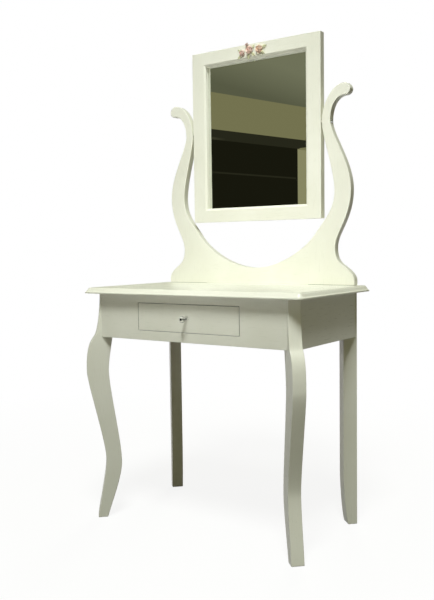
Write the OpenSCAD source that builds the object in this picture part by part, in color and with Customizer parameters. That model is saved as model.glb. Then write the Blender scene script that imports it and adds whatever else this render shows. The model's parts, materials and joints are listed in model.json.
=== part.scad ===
// Vanity table with a swing mirror: painted wooden table with one drawer, four board legs set
// diagonally at the corners, and a lyre-shaped stand that carries the mirror on two side bolts.
// Millimetres. +X is the sitter's right, +Y the back, +Z up. The floor is z = 0, and the origin is
// below the middle of the whole object.

/* [Table] */
// Height of the table top's upper face
table_h = 750; // [680:5:900]
// Width across the side aprons
body_w = 736; // [700:2:900]
// Depth across the front and back aprons
body_d = 406; // [360:2:500]
// Thickness of the table top
top_t = 18; // [16:1:25]
// How far the top stands out past each side apron
side_overhang = 32; // [20:1:45]
// How far the top stands out past the front apron
front_overhang = 24; // [15:1:35]
// How far the top, the stand and the back apron stand behind the corner chamfers
rear_overhang = 3; // [1:0.5:6]
// Radius of the top's front corners in plan
corner_r = 20; // [18:1:30]
// Width of the moulded edge in plan
edge_run = 14; // [8:1:16]
// Small step between the top's flat face and its moulded edge
edge_step = 1.5; // [1:0.5:3]
// Height of the plain band below the moulding
edge_band = 4.5; // [3:0.5:7]

/* [Aprons] */
// Height of the aprons
apron_h = 140; // [115:1:180]
// Thickness of the aprons
apron_t = 20; // [16:1:25]
// Height of apron left above the drawer
rail_above = 25; // [20:1:35]
// Height of apron left below the drawer
rail_below = 29; // [20:1:40]
// Width of the drawer opening
opening_w = 374; // [300:2:460]

/* [Legs] */
// Thickness of the leg boards
leg_t = 38; // [30:1:46]
// How far the leg boards reach inwards from the corner chamfer
post_in = 40; // [38:1:50]
// How far the front knees stand out past the corner chamfer
knee_out = 51; // [35:1:60]
// Depth of the knee below the aprons
knee_drop = 110; // [80:1:140]
// Height of the ankle
ankle_h = 190; // [150:1:220]
// How far the front feet stand out past the corner chamfer
toe_out = 25; // [15:1:35]
// Length of a front foot along the diagonal
foot_len = 31; // [26:1:40]

/* [Drawer] */
// Gap round the drawer front
reveal = 1.5; // [1:0.25:3]
// Thickness of the drawer front
drawer_front_t = 18; // [15:1:20]
// Thickness of the drawer's sides and back
drawer_wall = 12; // [9:1:15]
// Length of the drawer's sides
drawer_len = 315; // [280:5:330]
// How far the drawer's sides stop below the top of the opening
drawer_side_gap = 9.5; // [8:0.5:20]
// Thickness of the drawer bottom
drawer_base_t = 4; // [3:0.5:6]
// Depth of the grooves that hold the drawer bottom
groove = 5; // [3:0.5:6]
// Length of the knob
knob_len = 28; // [20:1:35]
// Diameter of the knob's head
knob_d = 22; // [16:1:30]

/* [Mirror stand] */
// Thickness of the stand's boards
stand_t = 24; // [20:1:30]
// Distance from the stand's foot to the end of the table top
foot_margin = 39; // [30:1:60]
// Height of the stand's boards at their lowest, below the mirror
bowl_h = 54; // [40:1:70]
// Width of the necks that carry the mirror
neck_w = 29; // [26:1:40]
// Gap between the mirror frame and a neck
side_gap = 3; // [2:0.5:6]

/* [Mirror] */
// Width of the mirror frame
mirror_w = 496; // [420:2:560]
// Height of the mirror frame
mirror_h = 580; // [480:2:700]
// Height of the mirror's lower edge above the table top
mirror_lift = 211; // [205:1:260]
// Height of the pivots above the mirror's middle
pivot_rise = 11; // [0:1:30]
// Thickness of the mirror frame
frame_t = 24; // [18:1:24]
// Width of the mirror frame's stiles
stile_w = 54; // [50:1:80]
// Height of the mirror frame's upper rail
upper_rail_h = 48; // [45:1:80]
// Height of the mirror frame's lower rail
lower_rail_h = 47; // [45:1:80]
// Width of the bevel round the glass
bevel_w = 7; // [4:1:10]
// Depth of the bevel round the glass
bevel_depth = 4.5; // [3:0.5:8]
// Thickness of the mirror glass
glass_t = 3; // [2:0.5:4]
// Thickness of the board behind the glass
back_t = 3; // [2:0.5:4]
// Radius of the pivot bolts
pivot_r = 3; // [2.5:0.25:4]

/* [Hidden] */

$fn = 48;
LEFT = -1;
RIGHT = 1;
FRONT = -1;
REAR = 1;
eps = 0.5;                       // how far a cutter runs past the face it cuts
curve_steps = 16;                // straight pieces in each curve of an outline
move_gap = 0.5;                  // least gap between pieces that slide past each other
running_fit = 0.05;              // radial clearance of a pivot bolt in its neck
paint = "ivory";
bare_wood = "burlywood";
steel = "silver";

// Heights
apron_top = table_h - top_t;
apron_bottom = apron_top - apron_h;
apron_mid = apron_top - apron_h / 2;
opening_top = apron_top - rail_above;
opening_bottom = apron_bottom + rail_below;
opening_mid = (opening_top + opening_bottom) / 2;

// Plan
chamfer = leg_t / sqrt(2);       // a diagonal leg board takes this much off each apron's corner
top_w = body_w + 2 * side_overhang;
rear_face = body_d / 2 + rear_overhang;
plate_t = 3;
front_reach = max(knee_out / sqrt(2), knob_len, front_overhang);
body_y = (body_d / 2 + front_reach - rear_face - plate_t) / 2;
front_inner = -body_d / 2 + apron_t;
rear_inner = rear_face - apron_t;
side_inner = body_w / 2 - apron_t;

// Corner blocks and their fixings
block_t = 20;
block_h = 80;
bolt_r = 3;
bolt_clear = 0.3;
bolt_in_leg = 28;
washer_t = 1.5;
nut_t = 5;
bolt_heights = [apron_mid - 20, apron_mid + 20];
wood_screw_r = 2;
screw_head_r = 4;
screw_head_h = 2.4;
screw_grip = 10;                 // length of a wood screw inside the piece it holds
block_screw_in = 20;             // distance of a block screw from the block's inner corner
block_screw_seat = 12;           // wood left under a block screw's head

// Cleats under the top
cleat = 18;
cleat_room = 75;                 // length left free at each end of a side apron
cleat_len = body_d - 2 * cleat_room;

// Drawer and its guides
drawer_w = opening_w - 8;
drawer_z = opening_bottom + reveal + 1;
drawer_front_y = -body_d / 2 + drawer_front_t;
drawer_end_y = drawer_front_y + drawer_len;
drawer_side_h = opening_top - drawer_side_gap - drawer_z;
base_rise = 8;                   // height of the drawer bottom above the sides' lower edges
guide_x = drawer_w / 2 + 1;
shelf_t = 10;
shelf_in = 16;
guide_w = 16;
guide_h = 25;
shelf_z = drawer_z - move_gap;
kicker_w = 24;
kicker_h = 24;
kicker_x = opening_w / 2 - kicker_w / 2 + 4;
kicker_z = drawer_z + drawer_side_h + 1.5;
guide_dowel_r = 3;
guide_dowel_half = 12;
guide_dowel_x = guide_x + guide_w / 2;
guide_dowel_z = shelf_z + 4;
kicker_dowel_z = opening_top + 7;
stop_len = 20;
stop_h = 18;
knob_screw_r = 2;
knob_base_r = 8;
knob_neck_r = 5;
knob_nut_t = 3.2;

// Mirror stand, heights above the table top
stand_y = rear_face - stand_t / 2;
neck_in = mirror_w / 2 + side_gap;
neck_out = neck_in + neck_w;
foot_x = top_w / 2 - foot_margin;
belly_h = mirror_lift + 89;
pivot_h = mirror_lift + mirror_h / 2 + pivot_rise;
seam_x = neck_in - 51;
dowel_r = 5;
dowel_half = 30;
dowel_heights = [24, 56, 88];
plate_w = 28;
plate_x = 150;
plate_up = 52;
plate_down = 58;
plate_screw_len = 16;
plate_screw_heights = [table_h + 14, table_h + 40, apron_top - 12, apron_top - 32];
head_flare = 2.2;                // depth of a countersunk head

// Mirror
pivot_z = table_h + pivot_h;
mirror_z = table_h + mirror_lift;
frame_front = stand_y - frame_t / 2;
frame_back = stand_y + frame_t / 2;
sight_x = mirror_w / 2 - stile_w;
sight_z0 = mirror_z + lower_rail_h;
sight_z1 = mirror_z + mirror_h - upper_rail_h;
rebate = 7;
glass_lap = 6;
glass_y = frame_back - back_t - glass_t;
frame_dowel_r = 3;
frame_dowel_half = 20;
frame_dowel_in = 14;
clip_t = 1.2;
clip_w = 10;
clip_l = 22;
clip_lap = 6;
clip_screw_r = 1.5;
insert_r = 5;
insert_len = 22;
pivot_washer_t = side_gap - 0.6;
pivot_washer_r = 8;
pivot_head_r = 6;
pivot_head_t = 3;
pivot_head_gap = 0.4;
spot_depth = 0.8;
spot_r = pivot_head_r + 0.8;

// ---------------------------------------------------------------- curves

// A knot is [x, z, heading, reach before it, reach after it]. One cubic joins each two knots.
function heading(a) = [cos(a), sin(a)];
function curve(p, q) = let (
        a = [p[0], p[1]], d = [q[0], q[1]],
        b = a + p[4] * heading(p[2]), c = d - q[3] * heading(q[2]))
    [for (i = [0 : curve_steps - 1]) let (t = i / curve_steps)
        a * pow(1 - t, 3) + 3 * b * t * pow(1 - t, 2) + 3 * c * t * t * (1 - t) + d * pow(t, 3)];
function curves(knots) = concat(
    [for (k = [0 : len(knots) - 2]) each curve(knots[k], knots[k + 1])],
    [[knots[len(knots) - 1][0], knots[len(knots) - 1][1]]]);
function reversed(list) = [for (i = [len(list) - 1 : -1 : 0]) list[i]];

// Front leg: the outer edge from the top down, and the inner edge the same way
knee_z = apron_bottom - knee_drop;
front_leg_outer = curves([
    [4, apron_top, 270, 0, 48],
    [knee_out / 2, apron_bottom, 308, 20, 34],
    [knee_out, knee_z, 270, 55, 40],
    [-5, ankle_h, 270, 60, 45],
    [toe_out, 0, 278, 50, 0]]);
front_leg_inner = curves([
    [-post_in, apron_bottom + 48, 270, 0, 25],
    [knee_out - 70, knee_z, 270, 45, 60],
    [-55, ankle_h - 8, 270, 70, 50],
    [toe_out - foot_len, 0, 286, 50, 0]]);

// Rear leg: the outer edge is plumb, and the inner edge turns outwards at the foot
rear_leg_inner = curves([
    [-post_in, 160, 270, 0, 30],
    [-25, 0, 294, 22, 0]]);

// Right half of the lyre, from the foot up the outer edge, over the hook and down the inner edge
lyre_half = concat([[foot_x, 0]], curves([
    [foot_x, 14, 90, 0, 24],
    [foot_x - 43, 65, 143, 22, 18],
    [neck_in + 44.5, 118, 90, 28, 48],
    [neck_in + 99, belly_h, 90, 95, 80],
    [neck_out, pivot_h, 90, 40, 34],
    [neck_out + 51, pivot_h + 74, 0, 38, 10],
    [neck_out + 68, pivot_h + 91, 90, 9, 9],
    [neck_out + 48, pivot_h + 111, 180, 11, 48],
    [neck_in, pivot_h, 270, 46, 47],
    [neck_in + 42.5, belly_h - 5, 270, 66, 60],
    [neck_in - 24, 164, 234, 50, 60],
    [0, bowl_h, 180, 95, 0]]));
lyre = concat(lyre_half,
    [for (i = [len(lyre_half) - 2 : -1 : 0]) [-lyre_half[i][0], lyre_half[i][1]]]);

// Moulded edge of the top: distance out from the corner's centre, and height above the underside
edge_profile = concat([[0, 0], [corner_r, 0]], curves([
    [corner_r, edge_band, 180, 0, 7],
    [corner_r - edge_run, top_t - edge_step, 180, 6, 0]]),
    [[corner_r - edge_run, top_t], [0, top_t]]);

// ---------------------------------------------------------------- places

// The table's own middle, in plan
module in_body() translate([0, body_y, 0]) children();

// A corner's chamfer plane: local +X points outwards along the diagonal
module at_corner(side, end)
    in_body() translate([side * (body_w - chamfer) / 2, end * (body_d - chamfer) / 2, 0])
        rotate([0, 0, atan2(end, side)]) children();

module at_all_corners()
    for (side = [LEFT, RIGHT], end = [FRONT, REAR]) at_corner(side, end) children();

// A cylinder along +X from the origin
module rod_x(r, l) rotate([0, 90, 0]) cylinder(r = r, h = l);

// A cylinder along +Y from the origin
module rod_y(r, l) rotate([-90, 0, 0]) cylinder(r = r, h = l);

// Where the screws of a corner block stand: origin on an apron's inner face, +Z into the block
module at_block_screws(side, end) {
    inner_y = end == FRONT ? -front_inner : rear_inner;
    corner_sum = (body_w + body_d) / 2 - chamfer - (post_in + block_t) * sqrt(2);
    in_body() for (z = [apron_mid - 28, apron_mid, apron_mid + 28]) {
        if (z != apron_mid) translate([side * (corner_sum - inner_y + block_screw_in), end * inner_y, z])
            rotate([end * 90, 0, 0]) children();
        if (z != apron_mid) translate([side * side_inner, end * (corner_sum - side_inner + block_screw_in), z])
            rotate([0, -side * 90, 0]) children();
    }
}

module at_all_block_screws()
    for (side = [LEFT, RIGHT], end = [FRONT, REAR]) at_block_screws(side, end) children();

// A pan-head wood screw: origin where its head's seat is, shank along -Z
module wood_screw(grip) {
    translate([0, 0, -grip]) cylinder(r = wood_screw_r, h = grip);
    cylinder(r = screw_head_r, h = screw_head_h);
}

// Screws that hold a cleat: up into the top, and out into the side apron
module at_cleat_top_screws(side)
    in_body() for (y = [-cleat_len / 2 + 25, 0, cleat_len / 2 - 25])
        translate([side * (side_inner - cleat / 2), y, apron_top - cleat]) rotate([180, 0, 0]) children();

module at_cleat_side_screws(side)
    in_body() for (y = [-cleat_len / 4, cleat_len / 4])
        translate([side * (side_inner - cleat), y, apron_top - cleat / 2])
            rotate([0, -side * 90, 0]) children();

// Dowels at both ends of a runner and a kicker: origin on an apron's inner face
module at_guide_dowels(side)
    in_body() for (y = [front_inner, rear_inner]) {
        translate([side * guide_dowel_x, y, guide_dowel_z]) children();
        translate([side * kicker_x, y, kicker_dowel_z]) children();
    }

module guide_dowel() translate([0, -guide_dowel_half, 0]) rod_y(guide_dowel_r, 2 * guide_dowel_half);

module at_stand_dowels(side)
    in_body() for (z = dowel_heights) translate([side * seam_x, stand_y, table_h + z]) children();

module stand_dowel() translate([-dowel_half, 0, 0]) rod_x(dowel_r, 2 * dowel_half);

// Countersunk screws of the stand's plates: origin on a plate's outer face, shank towards -Y
module at_plate_screws()
    in_body() for (side = [LEFT, RIGHT], z = plate_screw_heights)
        translate([side * plate_x, rear_face + plate_t, z]) rotate([-90, 0, 0]) children();

module countersunk_screw() {
    translate([0, 0, -plate_t - plate_screw_len]) cylinder(r = wood_screw_r, h = plate_t + plate_screw_len);
    translate([0, 0, -head_flare]) cylinder(r1 = wood_screw_r, r2 = screw_head_r, h = head_flare);
}

module at_frame_dowels()
    in_body() for (side = [LEFT, RIGHT],
            z = [mirror_z + frame_dowel_in, sight_z0 - frame_dowel_in,
                 sight_z1 + frame_dowel_in, mirror_z + mirror_h - frame_dowel_in])
        translate([side * sight_x, stand_y, z]) children();

module frame_dowel() translate([-frame_dowel_half, 0, 0]) rod_x(frame_dowel_r, 2 * frame_dowel_half);

// Turn clips on the back of the mirror frame: local +X points away from the glass
module at_clips() {
    mid_z = (sight_z0 + sight_z1) / 2;
    in_body() translate([0, frame_back, 0]) {
        for (side = [LEFT, RIGHT], z = [sight_z0 + 90, sight_z1 - 90])
            translate([side * (sight_x + rebate), 0, z]) rotate([-90, side < 0 ? 180 : 0, 0]) children();
        for (x = [-sight_x / 2, sight_x / 2]) {
            translate([x, 0, sight_z0 - rebate]) rotate([-90, 90, 0]) children();
            translate([x, 0, sight_z1 + rebate]) rotate([-90, -90, 0]) children();
        }
    }
}

// A pivot's axis: origin on the mirror frame's side face, local +X pointing outwards
module at_pivot(side)
    in_body() translate([side * mirror_w / 2, stand_y, pivot_z]) rotate([0, 0, side < 0 ? 180 : 0]) children();

// ---------------------------------------------------------------- table

module edge_moulding(l) rotate([90, 0, 90]) linear_extrude(l) polygon(edge_profile);

module table_top() color(paint) difference() {
    in_body() translate([0, 0, apron_top]) {
        core_x = top_w / 2 - corner_r;
        core_y = -body_d / 2 - front_overhang + corner_r;
        translate([-core_x, core_y, 0]) cube([2 * core_x, rear_face - core_y, top_t]);
        translate([core_x, core_y, 0]) rotate([0, 0, 180]) edge_moulding(2 * core_x);
        for (side = [LEFT, RIGHT]) translate([side * core_x, core_y, 0]) {
            mirror([side < 0 ? 1 : 0, 0, 0]) {
                translate([0, rear_face - core_y, 0]) rotate([0, 0, -90]) edge_moulding(rear_face - core_y);
                rotate([0, 0, -90]) rotate_extrude(angle = 90) polygon(edge_profile);
            }
        }
    }
    for (side = [LEFT, RIGHT]) at_cleat_top_screws(side) translate([0, 0, -cleat - screw_grip])
        cylinder(r = wood_screw_r, h = screw_grip + cleat);
}

// An apron in plan: outer face on y = 0, both ends cut at 45 degrees to lie on the leg boards
module apron_blank(l) translate([0, 0, apron_bottom]) linear_extrude(apron_h)
    polygon([[-l / 2, 0], [l / 2, 0], [l / 2 - apron_t, apron_t], [-l / 2 + apron_t, apron_t]]);

module block_screw_holes() at_all_block_screws() translate([0, 0, -screw_grip])
    cylinder(r = wood_screw_r, h = screw_grip + eps);

module guide_dowel_holes() for (side = [LEFT, RIGHT]) at_guide_dowels(side) guide_dowel();

module front_apron() color(paint) difference() {
    in_body() translate([0, -body_d / 2, 0]) apron_blank(body_w - 2 * chamfer);
    in_body() translate([-opening_w / 2, -body_d / 2 - eps, opening_bottom])
        cube([opening_w, apron_t + 2 * eps, opening_top - opening_bottom]);
    block_screw_holes();
    guide_dowel_holes();
}

module back_apron() color(paint) difference() {
    in_body() translate([0, rear_face, 0]) rotate([0, 0, 180])
        apron_blank(body_w - 2 * chamfer + 2 * rear_overhang);
    block_screw_holes();
    guide_dowel_holes();
    at_plate_screws() countersunk_screw();
}

module side_apron(side) color(paint) difference() {
    in_body() translate([side * body_w / 2, 0, 0]) rotate([0, 0, side * 90])
        apron_blank(body_d - 2 * chamfer);
    block_screw_holes();
    at_cleat_side_screws(side) wood_screw(cleat + screw_grip);
}

module side_apron_left() side_apron(LEFT);
module side_apron_right() side_apron(RIGHT);

// ---------------------------------------------------------------- legs

module leg_board(outline) rotate([90, 0, 0]) linear_extrude(leg_t, center = true) polygon(outline);

module leg_bolt_holes() for (z = bolt_heights) translate([-post_in - eps, 0, z])
    rod_x(bolt_r, bolt_in_leg + eps);

module front_leg(side) color(paint) at_corner(side, FRONT) difference() {
    leg_board(concat(front_leg_outer, reversed(front_leg_inner), [[-post_in, apron_top]]));
    leg_bolt_holes();
}

module rear_leg(side) color(paint) at_corner(side, REAR) difference() {
    leg_board(concat([[rear_overhang * sqrt(2), apron_top], [rear_overhang * sqrt(2), 0]],
        reversed(rear_leg_inner), [[-post_in, apron_top]]));
    leg_bolt_holes();
}

module leg_front_left() front_leg(LEFT);
module leg_front_right() front_leg(RIGHT);
module leg_rear_left() rear_leg(LEFT);
module leg_rear_right() rear_leg(RIGHT);

// ---------------------------------------------------------------- corner blocks and fixings

module corner_block(side, end) color(bare_wood) difference() {
    intersection() {
        at_corner(side, end) translate([-post_in - block_t, -body_d / 2, apron_mid - block_h / 2])
            cube([block_t, body_d, block_h]);
        in_body() translate([-side_inner, front_inner, 0]) cube([2 * side_inner, rear_inner - front_inner, table_h]);
    }
    at_corner(side, end) for (z = bolt_heights) translate([-post_in - block_t - eps, 0, z])
        rod_x(bolt_r + bolt_clear, block_t + 2 * eps);
    at_block_screws(side, end) {
        translate([0, 0, -eps]) cylinder(r = wood_screw_r, h = block_t * 2);
        translate([0, 0, block_screw_seat]) cylinder(r = screw_head_r + eps, h = block_t * 2);
    }
}

module corner_block_front_left() corner_block(LEFT, FRONT);
module corner_block_front_right() corner_block(RIGHT, FRONT);
module corner_block_rear_left() corner_block(LEFT, REAR);
module corner_block_rear_right() corner_block(RIGHT, REAR);

module leg_bolts() color(steel) at_all_corners() for (z = bolt_heights)
    translate([-post_in - block_t - washer_t - nut_t - 2, 0, z])
        rod_x(bolt_r, block_t + washer_t + nut_t + 2 + bolt_in_leg);

module ring_x(outer_r, inner_r, l, sides = 0) difference() {
    rotate([0, 90, 0]) cylinder(r = outer_r, h = l, $fn = sides > 0 ? sides : $fn);
    translate([-eps, 0, 0]) rod_x(inner_r, l + 2 * eps);
}

module leg_bolt_washers() color(steel) at_all_corners() for (z = bolt_heights)
    translate([-post_in - block_t - washer_t, 0, z]) ring_x(7, bolt_r + bolt_clear, washer_t);

module leg_bolt_nuts() color(steel) at_all_corners() for (z = bolt_heights)
    translate([-post_in - block_t - washer_t - nut_t, 0, z]) ring_x(5.7, bolt_r, nut_t, 6);

module corner_block_screws() color(steel) at_all_block_screws() translate([0, 0, block_screw_seat])
    wood_screw(block_screw_seat + screw_grip);

module top_cleat(side) color(bare_wood) difference() {
    in_body() translate([side * (side_inner - cleat / 2), 0, apron_top - cleat / 2])
        cube([cleat, cleat_len, cleat], center = true);
    at_cleat_top_screws(side) wood_screw(cleat + screw_grip);
    at_cleat_side_screws(side) wood_screw(cleat + screw_grip);
}

module top_cleat_left() top_cleat(LEFT);
module top_cleat_right() top_cleat(RIGHT);

module top_cleat_screws() color(steel) for (side = [LEFT, RIGHT]) {
    at_cleat_top_screws(side) wood_screw(cleat + screw_grip);
    at_cleat_side_screws(side) wood_screw(cleat + screw_grip);
}

// ---------------------------------------------------------------- drawer guides

module between_aprons(x, w, z, h)
    in_body() translate([x - w / 2, front_inner, z]) cube([w, rear_inner - front_inner, h]);

module drawer_runner(side) color(bare_wood) difference() {
    union() {
        between_aprons(side * (guide_x + (guide_w - shelf_in) / 2), guide_w + shelf_in, shelf_z - shelf_t, shelf_t);
        between_aprons(side * guide_dowel_x, guide_w, shelf_z - shelf_t, shelf_t + guide_h);
    }
    guide_dowel_holes();
}

module drawer_runner_left() drawer_runner(LEFT);
module drawer_runner_right() drawer_runner(RIGHT);

module drawer_kicker(side) color(bare_wood) difference() {
    between_aprons(side * kicker_x, kicker_w, kicker_z, kicker_h);
    guide_dowel_holes();
}

module drawer_kicker_left() drawer_kicker(LEFT);
module drawer_kicker_right() drawer_kicker(RIGHT);

module guide_dowels() color(bare_wood) guide_dowel_holes();

module drawer_stops() color(bare_wood) in_body() for (side = [LEFT, RIGHT])
    translate([side * (guide_x - shelf_in / 2) - shelf_in / 2, drawer_end_y + move_gap, shelf_z])
        cube([shelf_in, stop_len, stop_h]);

// ---------------------------------------------------------------- drawer

module drawer_base_blank() {
    half_w = drawer_w / 2 - drawer_wall + groove;
    in_body() translate([-half_w, drawer_front_y - groove, drawer_z + base_rise])
        cube([2 * half_w, groove + drawer_len, drawer_base_t]);
}

module at_knob() in_body() translate([0, -body_d / 2, opening_mid]) rotate([90, 0, 0]) children();

module drawer_front() color(paint) difference() {
    in_body() translate([-opening_w / 2 + reveal, -body_d / 2, opening_bottom + reveal])
        cube([opening_w - 2 * reveal, drawer_front_t, opening_top - opening_bottom - 2 * reveal]);
    drawer_base_blank();
    at_knob() translate([0, 0, -drawer_front_t - eps]) cylinder(r = knob_screw_r, h = drawer_front_t + 2 * eps);
}

module drawer_side(side) color(bare_wood) difference() {
    in_body() translate([side * (drawer_w - drawer_wall) / 2 - drawer_wall / 2, drawer_front_y, drawer_z])
        cube([drawer_wall, drawer_len, drawer_side_h]);
    drawer_base_blank();
}

module drawer_side_left() drawer_side(LEFT);
module drawer_side_right() drawer_side(RIGHT);

module drawer_back() color(bare_wood) {
    half_w = drawer_w / 2 - drawer_wall;
    rise = base_rise + drawer_base_t;
    in_body() translate([-half_w, drawer_end_y - drawer_wall, drawer_z + rise])
        cube([2 * half_w, drawer_wall, drawer_side_h - rise]);
}

module drawer_bottom() color(bare_wood) drawer_base_blank();

// Turned knob: foot on the drawer front, waist, and a wide head with a countersunk bore
module drawer_knob() color("white", 0.6) at_knob() rotate_extrude() polygon(concat(
    [[knob_screw_r, 0], [knob_base_r, 0]],
    curves([
        [knob_base_r, 1.5, 90, 0, 2],
        [knob_neck_r, knob_len * 0.35, 90, 5, 4],
        [knob_d / 2, knob_len * 0.75, 90, 5, 3],
        [knob_d / 2 - 4, knob_len, 180, 3, 0]]),
    [[screw_head_r, knob_len], [knob_screw_r, knob_len - head_flare]]));

module knob_screw() color("dimgray") at_knob() {
    tail = drawer_front_t + knob_nut_t + 1;
    translate([0, 0, -tail]) cylinder(r = knob_screw_r, h = tail + knob_len - head_flare);
    translate([0, 0, knob_len - head_flare]) cylinder(r1 = knob_screw_r, r2 = screw_head_r, h = head_flare);
}

module knob_nut() color(steel) at_knob() translate([0, 0, -drawer_front_t - knob_nut_t]) difference() {
    cylinder(r = 4, h = knob_nut_t, $fn = 6);
    translate([0, 0, -eps]) cylinder(r = knob_screw_r, h = knob_nut_t + 2 * eps);
}

// ---------------------------------------------------------------- mirror stand

module lyre_board() in_body() translate([0, stand_y + stand_t / 2, table_h]) rotate([90, 0, 0])
    linear_extrude(stand_t) polygon(lyre);

module seam_slab() in_body() translate([-seam_x, 0, table_h - eps]) cube([2 * seam_x, body_d, table_h]);

module stand_base() color(paint) difference() {
    intersection() {
        lyre_board();
        seam_slab();
    }
    for (side = [LEFT, RIGHT]) at_stand_dowels(side) stand_dowel();
    at_plate_screws() countersunk_screw();
}

module stand_upright(side) color(paint) difference() {
    intersection() {
        lyre_board();
        in_body() translate([side < 0 ? -top_w : 0, 0, 0]) cube([top_w, body_d, 3 * table_h]);
    }
    seam_slab();
    at_stand_dowels(side) stand_dowel();
    at_pivot(side) {
        rod_x(pivot_r + running_fit, side_gap + neck_w + 5);
        translate([side_gap + neck_w - spot_depth, 0, 0]) rod_x(spot_r, 5);
    }
}

module stand_upright_left() stand_upright(LEFT);
module stand_upright_right() stand_upright(RIGHT);

module stand_dowels() color(bare_wood) for (side = [LEFT, RIGHT]) at_stand_dowels(side) stand_dowel();

module stand_plates() color(steel) difference() {
    in_body() for (side = [LEFT, RIGHT])
        translate([side * plate_x - plate_w / 2, rear_face, table_h - plate_down])
            cube([plate_w, plate_t, plate_up + plate_down]);
    at_plate_screws() countersunk_screw();
}

module stand_plate_screws() color(steel) at_plate_screws() countersunk_screw();

// ---------------------------------------------------------------- mirror

// A four-sided hopper in the frame's front: two prisms with sloping sides, crossed
module sight_bevel() in_body() intersection() {
    translate([0, 0, mirror_z]) linear_extrude(mirror_h) polygon([
        [-sight_x, frame_front + bevel_depth], [-sight_x - bevel_w, frame_front],
        [-sight_x - bevel_w, frame_front - eps], [sight_x + bevel_w, frame_front - eps],
        [sight_x + bevel_w, frame_front], [sight_x, frame_front + bevel_depth]]);
    rotate([90, 0, 90]) translate([0, 0, -mirror_w / 2]) linear_extrude(mirror_w) polygon([
        [frame_front + bevel_depth, sight_z0], [frame_front, sight_z0 - bevel_w],
        [frame_front - eps, sight_z0 - bevel_w], [frame_front - eps, sight_z1 + bevel_w],
        [frame_front, sight_z1 + bevel_w], [frame_front + bevel_depth, sight_z1]]);
}

module sight_box(extra, y0, y1)
    in_body() translate([-sight_x - extra, y0, sight_z0 - extra])
        cube([2 * (sight_x + extra), y1 - y0, sight_z1 - sight_z0 + 2 * extra]);

module frame_cuts() {
    sight_bevel();
    sight_box(0, frame_front, frame_back);
    sight_box(rebate, glass_y, frame_back + eps);
    at_frame_dowels() frame_dowel();
    at_clips() clip_screw();
}

module frame_slab(x0, x1, z0, z1)
    in_body() translate([x0, frame_front, z0]) cube([x1 - x0, frame_t, z1 - z0]);

module mirror_stile(side) color(paint) difference() {
    if (side > 0) frame_slab(sight_x, mirror_w / 2, mirror_z, mirror_z + mirror_h);
    else frame_slab(-mirror_w / 2, -sight_x, mirror_z, mirror_z + mirror_h);
    frame_cuts();
    at_pivot(side) translate([-insert_len - 4, 0, 0]) {
        rod_x(pivot_r, insert_len + 8);
        translate([4, 0, 0]) rod_x(insert_r, insert_len + eps);
    }
}

module mirror_stile_left() mirror_stile(LEFT);
module mirror_stile_right() mirror_stile(RIGHT);

module mirror_rail_upper() color(paint) difference() {
    frame_slab(-sight_x, sight_x, sight_z1, mirror_z + mirror_h);
    frame_cuts();
}

module mirror_rail_lower() color(paint) difference() {
    frame_slab(-sight_x, sight_x, mirror_z, sight_z0);
    frame_cuts();
}

module mirror_frame_dowels() color(bare_wood) at_frame_dowels() frame_dowel();

module mirror_glass() color("lightsteelblue") sight_box(glass_lap, glass_y, glass_y + glass_t);

module mirror_back_board() color(bare_wood) sight_box(glass_lap, glass_y + glass_t, frame_back);

module clip_screw() {
    translate([clip_w / 2, 0, -9]) cylinder(r = clip_screw_r, h = 9 + clip_t);
    translate([clip_w / 2, 0, clip_t]) cylinder(r = 2 * clip_screw_r, h = 1);
}

module back_board_clips() color(steel) at_clips() difference() {
    translate([-rebate + glass_lap - clip_lap, -clip_w / 2, 0]) cube([clip_l, clip_w, clip_t]);
    clip_screw();
}

module clip_screws() color(steel) at_clips() clip_screw();

// ---------------------------------------------------------------- pivots

module pivot_bolt(side) color(steel) at_pivot(side) {
    seat = side_gap + neck_w - spot_depth + pivot_head_gap;
    translate([-insert_len - 4, 0, 0]) rod_x(pivot_r, insert_len + 4 + seat);
    translate([seat, 0, 0]) rod_x(pivot_head_r, pivot_head_t / 2);
    translate([seat + pivot_head_t / 2, 0, 0]) rotate([0, 90, 0])
        cylinder(r1 = pivot_head_r, r2 = pivot_head_r - 1.5, h = pivot_head_t / 2);
}

module pivot_bolt_left() pivot_bolt(LEFT);
module pivot_bolt_right() pivot_bolt(RIGHT);

module pivot_insert(side) color("gold") at_pivot(side)
    translate([-insert_len, 0, 0]) ring_x(insert_r, pivot_r, insert_len);

module pivot_insert_left() pivot_insert(LEFT);
module pivot_insert_right() pivot_insert(RIGHT);

module pivot_washer(side) color("white") at_pivot(side) ring_x(pivot_washer_r, pivot_r, pivot_washer_t);

module pivot_washer_left() pivot_washer(LEFT);
module pivot_washer_right() pivot_washer(RIGHT);

// ---------------------------------------------------------------- rose ornament

// Each flower is [x from the frame's middle, height above the upper rail's lower edge, radius, depth]
rail_z = sight_z1;
flowers = [[-40, 22, 11, 11], [-12, 29, 14, 12], [26, 26, 13.5, 12], [-20, upper_rail_h - 1, 6.5, 7]];
leaf_t = 4;
// Each leaf is [x, height, direction, length]
leaves = [[-45, 15, 215, 17], [-45, 28, 148, 15], [-14, 18, 262, 20], [-4, 19, 318, 19],
    [1, 32, 65, 14], [35, 30, 15, 20], [33, 20, 318, 18]];

module on_rail(x, h) in_body() translate([x, frame_front, rail_z + h]) rotate([90, 0, 0]) children();

// A rose: a low dome with a full waist, turned round its own axis
module flower(r, depth) rotate_extrude() polygon(concat([[0, 0]],
    curves([[r * 0.85, 0, 60, 0, 3], [r, depth * 0.4, 90, 3, 4], [r * 0.45, depth, 180, 5, 0]]),
    [[0, depth]]));

module rose_flowers() color("pink") for (f = flowers) on_rail(f[0], f[1]) flower(f[2], f[3]);

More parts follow.
